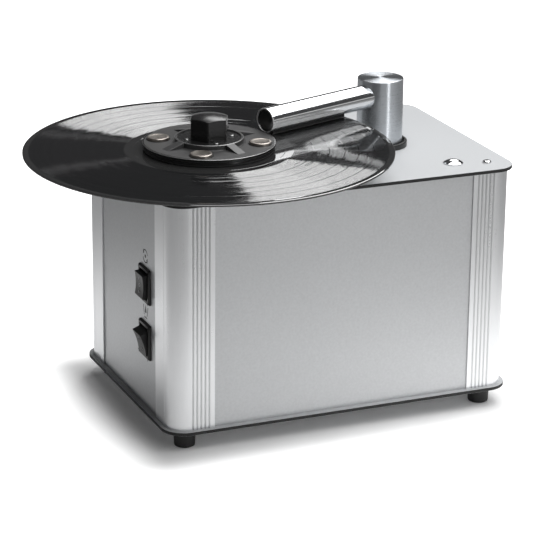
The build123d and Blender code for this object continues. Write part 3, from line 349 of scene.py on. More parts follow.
FINISHES = {
    "plate_composite": layered_plate(),
    "post_alloy": extruded_post_alloy(),
    "panel_alloy": satin_panel_alloy(),
    "bright_screws": plain_metal("bright_screws", grey(0.62), grey(0.8), 0.12),
    "zinc_steel": plain_metal("zinc_steel", grey(0.5, 0.01), grey(0.66, -0.01), 0.3),
    "foot_rubber": moulded("foot_rubber", grey(0.010), grey(0.022), 0.55, 900, 0.00005),
    "vinyl": vinyl(),
    "mat_rubber": moulded("mat_rubber", grey(0.009), grey(0.02), 0.6, 1500, 0.00006),
    "platter_alloy": plain_metal("platter_alloy", grey(0.62), grey(0.72), 0.28),
    "ground_steel": plain_metal("ground_steel", grey(0.55), grey(0.65), 0.18),
    "bronze": plain_metal("bronze", (0.42, 0.25, 0.11, 1), (0.55, 0.34, 0.16, 1), 0.35),
    "clamp_alloy": dark_clamp(),
    "magnet_nickel": plain_metal("magnet_nickel", (0.40, 0.365, 0.33, 1), (0.50, 0.46, 0.42, 1),
                                 0.24, 500, 0.000001),
    "knob_plastic": moulded("knob_plastic", grey(0.010), grey(0.014), 0.16, 300, 0.000001),
    "tube_chrome": bright_plating(),
    "arm_post_alloy": turned_alloy("arm_post", 0.65, 0.22),
    "black_plastic": moulded("black_plastic", grey(0.008), grey(0.016), 0.25, 1100, 0.000008),
    "velvet": moulded("velvet", grey(0.004), grey(0.016), 0.9, 3000, 0.0003,
                      {"Sheen Weight": 0.6, "Sheen Roughness": 0.4}),
    "motor_steel": plain_metal("motor_steel", grey(0.34), grey(0.44), 0.35),
    "tank_plastic": moulded("tank_plastic", grey(0.55, 0.02), grey(0.66, 0.02), 0.35),
    "impeller_alloy": plain_metal("impeller_alloy", grey(0.55), grey(0.7), 0.3),
    "contact_brass": plain_metal("contact_brass", (0.62, 0.45, 0.18, 1), (0.74, 0.55, 0.25, 1), 0.25),
    "board_laminate": moulded("board_laminate", (0.01, 0.07, 0.025, 1), (0.02, 0.11, 0.04, 1), 0.4),
    "transformer_iron": plain_metal("transformer_iron", grey(0.12), grey(0.2), 0.45),
    "capacitor_can": moulded("capacitor_can", (0.01, 0.015, 0.06, 1), (0.02, 0.03, 0.1, 1), 0.3),
    "switch_frame_plastic": moulded("switch_frame_plastic", grey(0.008), grey(0.015), 0.28),
    "switch_key_plastic": moulded("switch_key_plastic", grey(0.010), grey(0.02), 0.3),
}

CUT_EDGE = plain_metal("cut_edge", grey(0.32), grey(0.42), 0.25, 600, 0.000001)
TURNED_LIP = plain_metal("turned_lip", grey(0.75), grey(0.85), 0.4, 600, 0.000001)
PRINTED_WHITE = moulded("printed_white", grey(0.55), grey(0.65), 0.5)
PRINTED_BLACK = moulded("printed_black", grey(0.012), grey(0.02), 0.45)

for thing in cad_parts.values():
    for held in thing.material_slots:
        held.material = FINISHES[held.material.name.split(".")[0]]


# --------------------------------------------------------------------------------------------------
# Making pieces, in millimetres
# --------------------------------------------------------------------------------------------------
def set_at(shape, place):
    """Moves a shape level, from the origin to a place."""
    bmesh.ops.translate(shape, verts=shape.verts, vec=(place[0], place[1], 0))
    return shape


def face_out(shape):
    """Points a shape's faces outwards."""
    bmesh.ops.recalc_face_normals(shape, faces=shape.faces)
    return shape


def spun(outline, steps, closed):
    """Turns an outline of (radius, height) points about the upright line through the origin."""
    shape = bmesh.new()
    points = [shape.verts.new((radius, 0, height)) for radius, height in outline]
    edges = [shape.edges.new(pair) for pair in zip(points, points[1:])]
    if closed:
        edges.append(shape.edges.new((points[-1], points[0])))
    bmesh.ops.spin(shape, geom=points + edges, cent=(0, 0, 0), axis=UP, angle=2 * pi, steps=steps,
                   use_merge=True)
    bmesh.ops.remove_doubles(shape, verts=shape.verts, dist=0.0001)
    return shape


def turned(outline, place=(0, 0), steps=128):
    """A closed turned shape at a place."""
    closed = outline[0][0] > 0 or outline[-1][0] > 0
    return set_at(face_out(spun(outline, steps, closed)), place)


def ring(inner, outer, bottom, top, place=(0, 0), steps=64):
    """A plain ring, or a disc where its inner radius is 0."""
    return turned([(inner, bottom), (outer, bottom), (outer, top), (inner, top)], place, steps)


def slab(low, high):
    """A plain block between two corners."""
    low, high = Vector(low), Vector(high)
    shape = bmesh.new()
    bmesh.ops.create_cube(shape, size=1)
    bmesh.ops.scale(shape, verts=shape.verts, vec=high - low)
    bmesh.ops.translate(shape, verts=shape.verts, vec=(low + high) / 2)
    return shape


def pulled(shape, parts, way):
    """Extrudes a face or a loop of edges by a vector, and gives the edges at its new end."""
    if isinstance(parts[0], bmesh.types.BMFace):
        grown = bmesh.ops.extrude_face_region(shape, geom=parts)["geom"]
    else:
        grown = bmesh.ops.extrude_edge_only(shape, edges=parts)["geom"]
    bmesh.ops.translate(shape, verts=[part for part in grown if isinstance(part, bmesh.types.BMVert)],
                        vec=way)
    return [part for part in grown if isinstance(part, bmesh.types.BMEdge)]


def prism(points, bottom, top):
    """An upright prism over an outline of (x, y) points."""
    shape = bmesh.new()
    face = shape.faces.new([shape.verts.new((x, y, bottom)) for x, y in points])
    pulled(shape, [face], (0, 0, top - bottom))
    return face_out(shape)


def sharp_edges(shape, angle=40.0):
    """The edges where a shape's faces turn by more than an angle."""
    return [edge for edge in shape.edges
            if edge.is_manifold and edge.calc_face_angle(0) > radians(angle)]


def runs_along(edge, axis):
    """Whether an edge runs more than a millimetre along an axis."""
    return abs(edge.verts[0].co[axis] - edge.verts[1].co[axis]) > 1


def soften(shape, edges, width, segments=3, trim=-1):
    """Rounds edges. A trim of 1 gives them the piece's second finish."""
    bmesh.ops.bevel(shape, geom=edges, offset=width, offset_type="OFFSET", segments=segments,
                    profile=0.5, affect="EDGES", clamp_overlap=True, material=trim)
    return shape


def joined(*shapes):
    """Puts shapes together as one."""
    whole = bmesh.new()
    for shape in shapes:
        held = bpy.data.meshes.new("held")
        shape.to_mesh(held)
        shape.free()
        whole.from_mesh(held)
        bpy.data.meshes.remove(held)
    return whole


def moved(shape, matrix):
    """Puts a shape through a matrix."""
    bmesh.ops.transform(shape, matrix=matrix, verts=shape.verts)
    return shape


def turned_to(place, across, up, back):
    """The matrix that puts a thing at a place, with its three axes along three directions."""
    return Matrix.Translation(place) @ Matrix((across, up, back)).transposed().to_4x4()


def shown(name, data):
    """Puts a mesh, a lamp or a camera in the scene."""
    thing = bpy.data.objects.new(name, data)
    bpy.context.scene.collection.objects.link(thing)
    return thing


def shown_shape(name, shape, finish):
    """Puts a shape in metres in the scene, with its finish."""
    mesh = bpy.data.meshes.new(name)
    shape.to_mesh(mesh)
    shape.free()
    mesh.materials.append(finish)
    return shown(name, mesh)


def dress(name, shape, slot, body, nodes=(), sharp=34, finish=None, trim=None):
    """Makes a shape a piece that rides on a body and stands for nodes."""
    bmesh.ops.scale(shape, verts=shape.verts, vec=(MILLIMETRE,) * 3)
    piece = shown_shape(name, shape, finish or FINISHES[slot])
    piece.data.shade_smooth()
    piece.data.set_sharp_from_angle(angle=radians(sharp))
    if trim:
        piece.data.materials.append(trim)
    even = piece.modifiers.new("even_normals", "WEIGHTED_NORMAL")
    even.keep_sharp = True
    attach(piece, body)
    if nodes:
        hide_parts(*nodes)


def around(centre, radius, angle):
    """The place at a distance and an angle in degrees from a centre."""
    return (centre[0] + radius * cos(radians(angle)), centre[1] + radius * sin(radians(angle)))


def arc(centre, radius, start, end, count):
    """Points along an arc, from one angle to another in degrees."""
    return [around(centre, radius, start + (end - start) * number / count)
            for number in range(count + 1)]


def arc_radius(half_width, rise):
    """The radius of an arc, from half its width and its rise."""
    return (half_width ** 2 + rise ** 2) / (2 * rise)


def drop_at(radius, away):
    """How far an arc has dropped at a distance from its middle."""
    return radius - (radius ** 2 - away ** 2) ** 0.5


# --------------------------------------------------------------------------------------------------
# Plates, screws, feet and posts
# --------------------------------------------------------------------------------------------------
deck_low, deck_high, _ = corners_of("deck_plate")
deck = deck_high.z
corner_radius, port_inset = 20.0, 21.0
ports = [(x, y) for x in (deck_low.x + port_inset, deck_high.x - port_inset)
         for y in (deck_low.y + port_inset, deck_high.y - port_inset)]


def rounded_plate(node):
    """A plate with round corners, its long edges just broken."""
    low, high, _ = corners_of(node)
    shape = slab(low, high)
    soften(shape, [edge for edge in shape.edges if runs_along(edge, 2)], corner_radius, 20)
    soften(shape, sharp_edges(shape), 0.2, 2)
    dress(node + "_skinned", shape, "plate_composite", "cabinet", [node])


def socket_screw(place, seat, radius, height, socket, depth, length, thread):
    """A round-headed screw with a hexagon socket, its shank below the seat."""
    tip, side, top = seat - length, seat + height * 0.28, seat + height
    flat, chamfer = radius * 0.52, 0.6
    outline = [(0, tip), (thread * 0.8, tip), (thread, tip + chamfer), (thread, seat), (radius, seat),
               (radius, side)]
    outline += [(flat + (radius - flat) * cos(radians(angle)), side + (top - side) * sin(radians(angle)))
                for angle in (18, 36, 54, 72, 90)]
    shape = spun(outline, 36, closed=False)
    rim = [edge for edge in shape.edges if edge.is_boundary]
    hexagon = bmesh.ops.create_circle(shape, segments=6, radius=socket / 3 ** 0.5)["verts"]
    bmesh.ops.translate(shape, verts=hexagon, vec=(0, 0, top))
    mouth = [edge for edge in shape.edges if edge.is_wire]
    bmesh.ops.bridge_loops(shape, edges=rim + mouth)
    bmesh.ops.holes_fill(shape, edges=pulled(shape, mouth, (0, 0, -depth)), sides=6)
    return set_at(face_out(shape), place)


def foot(place):
    """A rubber foot: a cup with a round lower edge and a bore for its screw."""
    low, high, _ = corners_of("feet")
    bore, recess, shoulder = 2.25, 4.5, 8.0
    outline = [(bore, high.z), (9.1, high.z), (9.4, high.z - 0.5), (8.85, low.z + 1.6),
               (8.5, low.z + 0.5), (7.7, low.z), (5.4, low.z), (4.7, low.z + 0.4),
               (recess, low.z + 1.0), (recess, shoulder), (bore, shoulder)]
    return turned(outline, place, 64)


def corner_post(node, across, along):
    """An extruded corner post: a round corner, flutes down its front leg, a slot for each panel."""
    low, high, _ = corners_of(node)
    front_leg, side_leg, wall, port = 37.4, 39.8, 7, 17
    groove, groove_depth, round_corner = 19.0, 0.38, 16
    slot_near, slot_far, slot_depth = 1.25, 4.55, 5.5
    first_flute, flute_pitch, flute_half, floor_half, flute_depth = 18.3, 3.55, 0.95, 0.12, 0.68
    outline = [(0, groove + groove_depth), (groove_depth, groove), (0, groove - groove_depth)]
    outline += arc((round_corner, round_corner), round_corner, 180, 270, 18)
    for number in range(5):
        flute = first_flute + flute_pitch * number
        outline += [(flute - flute_half, 0), (flute - floor_half, flute_depth),
                    (flute + floor_half, flute_depth), (flute + flute_half, 0)]
    outline += [(front_leg, 0), (front_leg, slot_near), (front_leg - slot_depth, slot_near),
                (front_leg - slot_depth, slot_far), (front_leg, slot_far), (front_leg, wall),
                (wall, wall), (wall, side_leg), (slot_far, side_leg),
                (slot_far, side_leg - slot_depth), (slot_near, side_leg - slot_depth),
                (slot_near, side_leg), (0, side_leg)]
    leg = prism(outline, low.z, high.z)
    soften(leg, [edge for edge in sharp_edges(leg, 20) if runs_along(edge, 2)], 0.12, 2)
    screw_port = ring(1.95, 4.4, low.z, high.z, (port, port), 32)
    web_half = 1.1
    web = slab((8.3, -web_half, low.z), (21.0, web_half, high.z))
    shape = joined(leg, screw_port, moved(web, Matrix.Rotation(radians(45), 4, "Z")))
    corner = (low.x if across > 0 else high.x, low.y if along > 0 else high.y, 0)
    moved(shape, Matrix.Translation(corner) @ Matrix.Diagonal((across, along, 1, 1)))
    dress(node + "_extrusion", face_out(shape), "post_alloy", "cabinet", [node], sharp=20)


for node, across, along in (("front_left_post", 1, 1), ("front_right_post", -1, 1),
                            ("rear_left_post", 1, -1), ("rear_right_post", -1, -1)):
    corner_post(node, across, along)
rounded_plate("base_plate")
rounded_plate("deck_plate")
dress("deck_socket_screws",
      joined(*[socket_screw(port, deck, radius=3.8, height=2.2, socket=2.5, depth=1.3, length=14.0,
                            thread=1.95) for port in ports]),
      "bright_screws", "cabinet", ["deck_screws"])
dress("rubber_feet", joined(*[foot(port) for port in ports]), "foot_rubber", "cabinet", ["feet"])

# --------------------------------------------------------------------------------------------------
# Record, platter and mat
# --------------------------------------------------------------------------------------------------
spindle = middle_of("record")


def grooved_record():
    """The record: raised label, plain run-out, six tracks of grooves with gaps between, thick bead."""
    low, high, middle = corners_of("record")
    rim = (high.x - low.x) / 2
    label_half = (high.z - low.z) / 2
    hole, label_edge, land, bead = 3.62, 52.0, 0.75, 1.0
    first_groove, last_groove, pitch = 69.0, 145.4, 0.6
    gaps = (84.0, 97.0, 109.5, 121.0, 133.5)
    gap_width = 0.6
    label = [(hole, label_half), (label_edge - 1.0, label_half), (label_edge, land)]
    edge = [(rim - 5.3, land), (rim - 3.0, bead), (rim - 1.0, bead), (rim - 0.3, bead * 0.8),
            (rim, bead / 2)]
    grooves = [(61.8, land), (62.0, land - 0.06), (62.2, land), (first_groove, land)]
    radius = first_groove
    steepness = 0.5
    chance = Random(33)
    while radius < last_groove:
        if any(gap < radius < gap + gap_width for gap in gaps):
            radius += gap_width
            grooves.append((radius, land))
            steepness = chance.uniform(0.2, 0.8)
        steepness = min(1.0, max(0.0, steepness + chance.uniform(-0.12, 0.12)))
        stray = chance.uniform(-4.5, 4.5) if chance.random() < 0.04 else 0.0
        slope = radians(15.2 + 1.2 * steepness + stray)
        width = pitch - pitch * chance.uniform(0.25, 0.35)
        valley = radius + width * chance.uniform(0.47, 0.53)
        grooves += [(valley, land - width / 2 * tan(slope)), (radius + width, land)]
        radius += pitch
        grooves.append((radius, land))
    under = [(radius, -height) for radius, height in reversed(label + edge)]
    outline = [(radius, middle.z + height) for radius, height in label + grooves + edge + under]
    dress("record_disc", turned(outline, middle, 224), "vinyl", "turntable", ["record"], sharp=6)


def platter_and_mat():
    """The platter with its turned edge and boss, and the mat on it."""
    low, high, _ = corners_of("platter")
    rim = (high.x - low.x) / 2
    bore, boss, web = 5.05, 15.0, high.z - 8.0
    outline = [(bore, low.z), (boss, low.z), (boss, web), (rim - 1.2, web), (rim, web + 1.2),
               (rim, high.z - 3.2), (rim - 0.5, high.z - 2.9), (rim - 0.5, high.z - 2.5),
               (rim, high.z - 2.2), (rim, high.z), (bore, high.z)]
    shape = turned(outline, spindle)
    dress("turned_platter", soften(shape, sharp_edges(shape), 0.18, 2), "platter_alloy",
          "turntable", ["platter"])
    low, high, _ = corners_of("platter_mat")
    rim = (high.x - low.x) / 2
    hole, edge = 3.6, 0.4
    outline = [(hole, low.z), (rim, low.z)] + arc((rim - edge, high.z - edge), edge, 0, 90, 3)
    outline += [(hole, high.z)]
    dress("rubber_mat", turned(outline, spindle), "mat_rubber", "turntable", ["platter_mat"])


grooved_record()
platter_and_mat()

# --------------------------------------------------------------------------------------------------
# Record clamp
# --------------------------------------------------------------------------------------------------
disc_low, disc_high, _ = corners_of("clamp_disc")
magnet_low, magnet_high, _ = corners_of("clamp_magnets")
disc_radius = (disc_high.x - disc_low.x) / 2
magnet_stand, hub_radius, hub_depth = 2.2, 28.0, 1.2
disc_top = magnet_high.z - magnet_stand
hub_top = disc_high.z
hub_floor = hub_top - hub_depth


def cut_bright(edge):
    """Whether an edge is the top rim of the disc or of the hub, which is cut bright."""
    across, up = edge.verts[0].co.xy.length, edge.verts[0].co.z
    disc_rim = across > disc_radius - 0.1 and up > disc_top - 0.1
    hub_rim = abs(across - hub_radius) < 0.5 and up > hub_top - 0.1
    return disc_rim or hub_rim


def clamp_body():
    """The disc with its grooved side, the hub on it and the four ribs between them."""
    hole, bottom, skirt, waist, lip = 3.6, disc_low.z, 53.6, 52.6, disc_top - 2.0
    hub_bore = 26.2
    outline = [(hole, bottom), (skirt, bottom), (skirt, lip - 1.0), (waist, lip - 1.0), (waist, lip),
               (disc_radius, lip), (disc_radius, disc_top), (52.3, disc_top), (52.0, disc_top - 0.25),
               (51.7, disc_top), (29.6, disc_top), (29.2, disc_top - 0.3), (28.8, disc_top - 0.3),
               (hub_radius, disc_top + 0.3), (hub_radius, hub_top), (hub_bore, hub_top),
               (hub_bore, hub_floor), (hole, hub_floor)]
    disc = turned(outline, steps=160)
    sharp = sharp_edges(disc, 50)
    bright = [edge for edge in sharp if cut_bright(edge)]
    plain = [edge for edge in sharp if not cut_bright(edge)]
    soften(disc, bright, 0.35, 3, trim=1)
    soften(disc, [edge for edge in plain if edge.is_valid], 0.2, 2)
    shapes = [set_at(disc, spindle)]
    rib_start, rib_end, rib_half = 27.0, 44.0, 4.0
    for number in range(4):
        rib = prism([(rib_start, disc_top - 0.6), (rib_end, disc_top - 0.6), (rib_end, disc_top + 0.02),
                     (28.4, hub_top - 0.15), (rib_start, hub_top - 0.15)], -rib_half, rib_half)
        soften(rib, sharp_edges(rib, 20), 0.4, 3)
        turn = Matrix.Rotation(radians(15 + number * 90), 4, "Z") @ Matrix.Rotation(radians(90), 4, "X")
        shapes.append(set_at(moved(rib, turn), spindle))
    dress("clamp_body", joined(*shapes), "clamp_alloy", "record_clamp", ["clamp_disc"], trim=CUT_EDGE)
    dress("hub_inlay", ring(8.0, 25.9, hub_floor - 0.3, hub_floor + 0.05, spindle, 96),
          "knob_plastic", "record_clamp")


def four_around(radius, angle):
    """Four places round the spindle, the first at an angle."""
    return [around(spindle, radius, angle + number * 90) for number in range(4)]


def magnets_and_screws():
    """Four disc magnets with broken edges, each ringed by a flat black ring of painted shade, and the hub's
    four screws.
    """
    magnet, seat, face, top = 9.0, 9.9, 8.3, magnet_high.z
    outline = [(0, top - 0.25), (5.6, top - 0.25), (6.4, top - 0.1), (7.0, top), (face, top),
               (8.75, top - 0.15), (magnet, top - 0.5), (magnet, magnet_low.z), (0, magnet_low.z)]
    places = four_around(41.8, 60)
    # Flat black rings round the magnets paint the shade of a gap; there is no recess.
    dress("magnet_shade_rings",
          joined(*[ring(magnet, seat, disc_top - 0.5, disc_top + 0.06, place) for place in places]),
          "knob_plastic", "record_clamp")
    dress("nickel_magnets", joined(*[turned(outline, place, 64) for place in places]),
          "magnet_nickel", "record_clamp", ["clamp_magnets"])
    dress("hub_socket_screws",
          joined(*[socket_screw(place, hub_floor, radius=1.9, height=0.9, socket=1.4, depth=0.6,
                                length=4.0, thread=1.45) for place in four_around(19.0, -4)]),
          "bright_screws", "record_clamp", ["clamp_screws"], finish=CUT_EDGE)


def hexagon_knob():
    """A hexagon bar with round corners, and a domed top that scallops its six sides."""
    low, high, _ = corners_of("clamp_knob")
    corner, dome, rings = 16.6, 2.6, 10
    curve = arc_radius(corner, dome)
    shape = bmesh.new()
    bmesh.ops.create_circle(shape, cap_ends=False, segments=6, radius=corner)
    bmesh.ops.rotate(shape, verts=shape.verts, cent=(0, 0, 0),
                     matrix=Matrix.Rotation(radians(34.5), 3, "Z"))
    bmesh.ops.bevel(shape, geom=shape.verts[:], offset=1.2, segments=4, profile=0.5,
                    affect="VERTICES", clamp_overlap=True, material=-1)
    sides = [edge for edge in shape.edges if edge.calc_length() > 5]
    bmesh.ops.subdivide_edges(shape, edges=sides, cuts=15)
    bmesh.ops.translate(shape, verts=shape.verts, vec=(0, 0, low.z))
    loop = shape.edges[:]
    bmesh.ops.holes_fill(shape, edges=loop, sides=0)
    rim = loop = pulled(shape, loop, (0, 0, high.z - low.z))
    for number in range(rings, 1, -1):
        loop = pulled(shape, loop, (0, 0, 0))
        share = (number - 1) / number
        bmesh.ops.scale(shape, verts=list({vert for edge in loop for vert in edge.verts}),
                        vec=(share, share, 1))
    bmesh.ops.holes_fill(shape, edges=loop, sides=0)
    for vert in shape.verts:
        if vert.co.z > high.z - 0.01:
            vert.co.z = high.z - drop_at(curve, vert.co.xy.length)
    face_out(shape)
    soften(shape, [edge for edge in rim if edge.is_valid], 0.4, 3)
    dress("hexagon_knob", set_at(shape, spindle), "knob_plastic", "record_clamp", ["clamp_knob"])


clamp_body()
magnets_and_screws()
hexagon_knob()

# --------------------------------------------------------------------------------------------------
# Suction arm and drain plug
# --------------------------------------------------------------------------------------------------
post_low, post_high, arm = corners_of("arm_post")
tube_drop = 14.2
axis_height = post_high.z - tube_drop
reach = Vector((spindle.x - arm.x, spindle.y - arm.y, 0))
spacing = reach.length
ahead = reach.normalized()
tube_radius, tube_bore = 10.35, 9.25
tube_start, tube_end = 11.7, spacing - 60.9
slot_start, slot_end = spacing - 148.0, tube_end - 5.0
slot_half = 1.4
to_tube = turned_to((arm.x, arm.y, axis_height), Vector((-ahead.y, ahead.x, 0)), UP, ahead)


def suction_tube():
    """The arm's chromed tube: the suction slot along its underside and a broken edge at its mouth."""
    lip = 0.3
    outline = [(tube_bore, tube_start), (tube_radius, tube_start), (tube_radius, slot_start),
               (tube_radius, slot_end), (tube_radius, tube_end - lip), (tube_radius - lip / 2, tube_end),
               (tube_bore + lip / 2, tube_end), (tube_bore, tube_end - lip), (tube_bore, slot_end),
               (tube_bore, slot_start)]
    shape = turned(outline, steps=192)
    slot = []
    for face in shape.faces:
        middle = face.calc_center_median()
        if slot_start < middle.z < slot_end and middle.y < 0 and abs(middle.x) < slot_half:
            slot.append(face)
    bmesh.ops.delete(shape, geom=slot, context="FACES")
    bmesh.ops.bridge_loops(shape, edges=[edge for edge in shape.edges if edge.is_boundary])
    face_out(shape)
    for face in shape.faces:
        if face.calc_center_median().z > tube_end - lip:
            face.material_index = 1
    dress("suction_tube", moved(shape, to_tube), "tube_chrome", "suction_arm", ["arm_tube"],
          trim=TURNED_LIP)


def tube_stopper():
    """The dished stopper in the tube's mouth."""
    radius = tube_bore - 0.05
    outline = [(0, slot_end + 1.9), (3.5, slot_end + 2.0), (6.4, slot_end + 2.6), (7.6, slot_end + 3.3),
               (radius - 0.4, slot_end + 3.4), (radius, slot_end + 3.0), (radius, slot_end), (0, slot_end)]
    dress("tube_stopper", moved(turned(outline, steps=64), to_tube), "black_plastic", "suction_arm",
          ["tube_plug"])


def velvet_strips():
    """A strip of pile at each side of the suction slot."""
    strip_width = 2.6
    strips = []
    for side in (-4.1, 1.5):
        strip = slab((side, -tube_radius - 1.8, slot_start),
                     (side + strip_width, -tube_radius + 0.9, slot_end))
        strips.append(soften(strip, sharp_edges(strip), 0.7, 4))
    dress("velvet_strips", moved(joined(*strips), to_tube), "velvet", "suction_arm", ["arm_strips"])


def turned_post():
    """The arm's post: a cap with a broken edge and a centre mark, open at the foot for its stem."""
    radius, bore, bottom, top = 19.7, 14.06, post_low.z, post_high.z
    outline = [(bore, bottom), (radius - 0.4, bottom), (radius, bottom + 0.4), (radius, top - 0.9),
               (radius - 0.25, top - 0.3), (radius - 0.9, top), (0.8, top), (0, top - 0.8),
               (0, top - 20), (bore, top - 20)]
    dress("turned_post", turned(outline, arm, 160), "arm_post_alloy", "suction_arm", ["arm_post"])


def post_ring():
    """The black ring that the post turns in."""
    low, high, _ = corners_of("arm_ring")
    inner, outer = 21.3, 24.0
    outline = [(inner, low.z), (outer, low.z)] + arc((outer - 1.0, high.z - 1.0), 1.0, 0, 90, 4)
    outline += arc((inner + 0.8, high.z - 0.8), 0.8, 90, 180, 4)
    dress("post_ring", turned(outline, arm), "black_plastic", "cabinet", ["arm_ring"])


def drain_plug():
    """The plug's polished head on its stem."""
    low, high, middle = corners_of("tank_plug")
    head, stem, thickness, edge = 8.5, 5.5, 3.6, 0.8
    seat = high.z - thickness
    curve = arc_radius(head, thickness - edge)
    outline = [(0, low.z), (stem - 0.5, low.z), (stem, low.z + 0.5), (stem, seat), (head - 0.3, seat),
               (head, seat + 0.25), (head, seat + 0.75)]
    outline += [(away, high.z - drop_at(curve, away)) for away in (8.1, 6.6, 5.0, 3.4, 1.7, 0)]
    dress("polished_plug", turned(outline, middle, 96), "tube_chrome", "drain_plug", ["tank_plug"])


suction_tube()
tube_stopper()
velvet_strips()
turned_post()
post_ring()
drain_plug()

# --------------------------------------------------------------------------------------------------
# Switches and their signs
# --------------------------------------------------------------------------------------------------
bezel_face = corners_of("motor_switch_frame")[0].x
bezel_depth, pivot_depth = 2.2, 4.5
panel_face = bezel_face + bezel_depth
pivot_x = bezel_face + pivot_depth
face_stand, face_half, face_hollow = 8.7, 10.1, 1.0
face_curve = arc_radius(face_half, face_hollow)
MARK = (-0.12, 0.06)
INK = (-0.05, 0.04)
SIGN_SCALE = 2.1
SIGN_ABOVE = 9.0


def face_height(along):
    """How far the rocker's hollow face stands before its pivot, at a distance from its middle."""
    return face_stand - face_hollow + drop_at(face_curve, along)


def front_of(shape):
    """The face of a shape that stands furthest out of the panel."""
    return min(shape.faces, key=lambda face: face.calc_center_median().x)


def inset_and_pulled(shape, face, inset, way):
    """Insets a face, extrudes what is left of it by a vector, and gives the edges it started from."""
    bmesh.ops.inset_region(shape, faces=[face], thickness=inset, use_even_offset=True)
    edges = list(face.edges)
    pulled(shape, [face], way)
    bmesh.ops.delete(shape, geom=[face], context="FACES_ONLY")
    return edges


def switch_case(name):
    """A switch's frame: a bevelled bezel, a well for the rocker and a body behind the panel."""
    low, high, _ = corners_of(name)
    bezel, well_depth, body_inset, body_depth = 2.05, 13.0, 1.75, 20.0
    shape = slab((bezel_face, low.y, low.z), (panel_face, high.y, high.z))
    soften(shape, [edge for edge in shape.edges if runs_along(edge, 0)], 1.6, 5)
    soften(shape, list(front_of(shape).edges), 1.1, 1)
    front = front_of(shape)
    rims = list(front.edges) + inset_and_pulled(shape, front, bezel, (well_depth, 0, 0))
    backs = [face for face in shape.faces if face.normal.x > 0.9 or
             abs(face.calc_center_median().x - panel_face) < 0.01]
    back = max(backs, key=lambda face: face.calc_area())
    inset_and_pulled(shape, back, body_inset, (body_depth, 0, 0))
    face_out(shape)
    soften(shape, [edge for edge in rims if edge.is_valid], 0.25, 2)
    dress(name.replace("frame", "case"), shape, "switch_frame_plastic", "cabinet", [name])


def rocker_key(node, body, tilt, marks):
    """A rocker with a hollow face and round ends, and marks on it: a ring, or bars by their places."""
    middle = middle_of(node.replace("rocker", "switch_frame"))
    shoulder, depth, width_half, steps = face_half + 1.0, 6.0, 9.2, 12
    outline = [(face_height(along), along) for along in
               [face_half * (1 - 2 * number / steps) for number in range(steps + 1)]]
    outline += [(0, -shoulder)]
    outline += [(depth * x, shoulder * y) for x, y in arc((0, 0), 1, -90, -270, steps)[1:-1]]
    outline += [(0, shoulder)]
    shape = prism(outline, -width_half, width_half)
    soften(shape, sharp_edges(shape, 35), 0.45, 3)
    lie = (Matrix.Translation((pivot_x, middle.y, middle.z)) @ Matrix.Rotation(radians(-tilt), 4, "Y")
           @ Matrix(((-1, 0, 0), (0, 0, 1), (0, 1, 0))).to_4x4())
    dress(node + "_key", face_out(moved(shape, lie)), "switch_key_plastic", body, [node])
    on_face = Matrix(((0, 0, 1), (0, 1, 0), (-1, 0, 0))).to_4x4()
    signs = []
    for along, kind in marks:
        if kind == "ring":
            sign = ring(1.1, 1.65, *MARK, steps=40)
        else:
            sign = joined(*[slab((x - 0.28, -1.7, MARK[0]), (x + 0.28, 1.7, MARK[1])) for x in kind])
        seat = Matrix.Translation((face_height(along), along, 0))
        lean = Matrix.Rotation(along / face_curve, 4, "Z")
        signs.append(moved(sign, lie @ seat @ lean @ on_face))
    dress(node + "_marks", face_out(joined(*signs)), "switch_key_plastic", body, finish=PRINTED_WHITE)


def printed(node, shapes):
    """Puts flat signs on the panel above a switch, as ink of a hair's thickness. They are drawn upright."""
    _, high, middle = corners_of(node)
    upright = Matrix(((0, 0, -1), (-1, 0, 0), (0, 1, 0))).to_4x4()
    place = (Matrix.Translation((panel_face, middle.y, high.z + SIGN_ABOVE)) @ upright
             @ Matrix.Diagonal((SIGN_SCALE, SIGN_SCALE, 1, 1)))
    dress(node.replace("switch_frame", "sign"), face_out(moved(joined(*shapes), place)),
          "black_plastic", "cabinet", finish=PRINTED_BLACK)


def turning_sign():
    """Two arrows that chase each other round a dot."""
    radius, half_width, sweep = 2.6, 0.25, 115
    shapes = [ring(0, 0.7, *INK, steps=24)]
    for start in (20, 200):
        neck = start + sweep - 2
        inner = arc((0, 0), radius - half_width, start, start + sweep, 24)
        outer = arc((0, 0), radius + half_width, start + sweep, start, 24)
        head = [around((0, 0), radius - 0.85, neck), around((0, 0), radius + 0.85, neck),
                around((0, 0), radius, start + 150)]
        shapes += [prism(inner + outer, *INK), prism(head, *INK)]
    return shapes


def suction_sign():
    """A drop between two lines that draw in to a nozzle, with a bar under it."""
    line_half, top, bottom = 0.25, 2.4, -1.6
    shapes = [prism(arc((0, 0.4), 1.0, 200, 340, 16) + [(0.0, 3.0)], *INK)]
    for x, foot_x in ((-2.6, -1.6), (2.6, 1.6)):
        shapes.append(prism([(foot_x - line_half, bottom), (foot_x + line_half, bottom),
                             (x + line_half, top), (x - line_half, top)], *INK))
    shapes.append(prism([(-1.5, -2.2), (1.5, -2.2), (1.5, -2.7), (-1.5, -2.7)], *INK))
    return shapes


switch_case("motor_switch_frame")
switch_case("vacuum_switch_frame")
rocker_key("motor_rocker", "motor_switch_key", 0, [(6.6, (0,)), (0, "ring"), (-6.6, (-0.55, 0.55))])
rocker_key("vacuum_rocker", "vacuum_switch_key", 16, [(6.4, (0,)), (-6.4, "ring")])
printed("motor_switch_frame", turning_sign())
printed("vacuum_switch_frame", suction_sign())


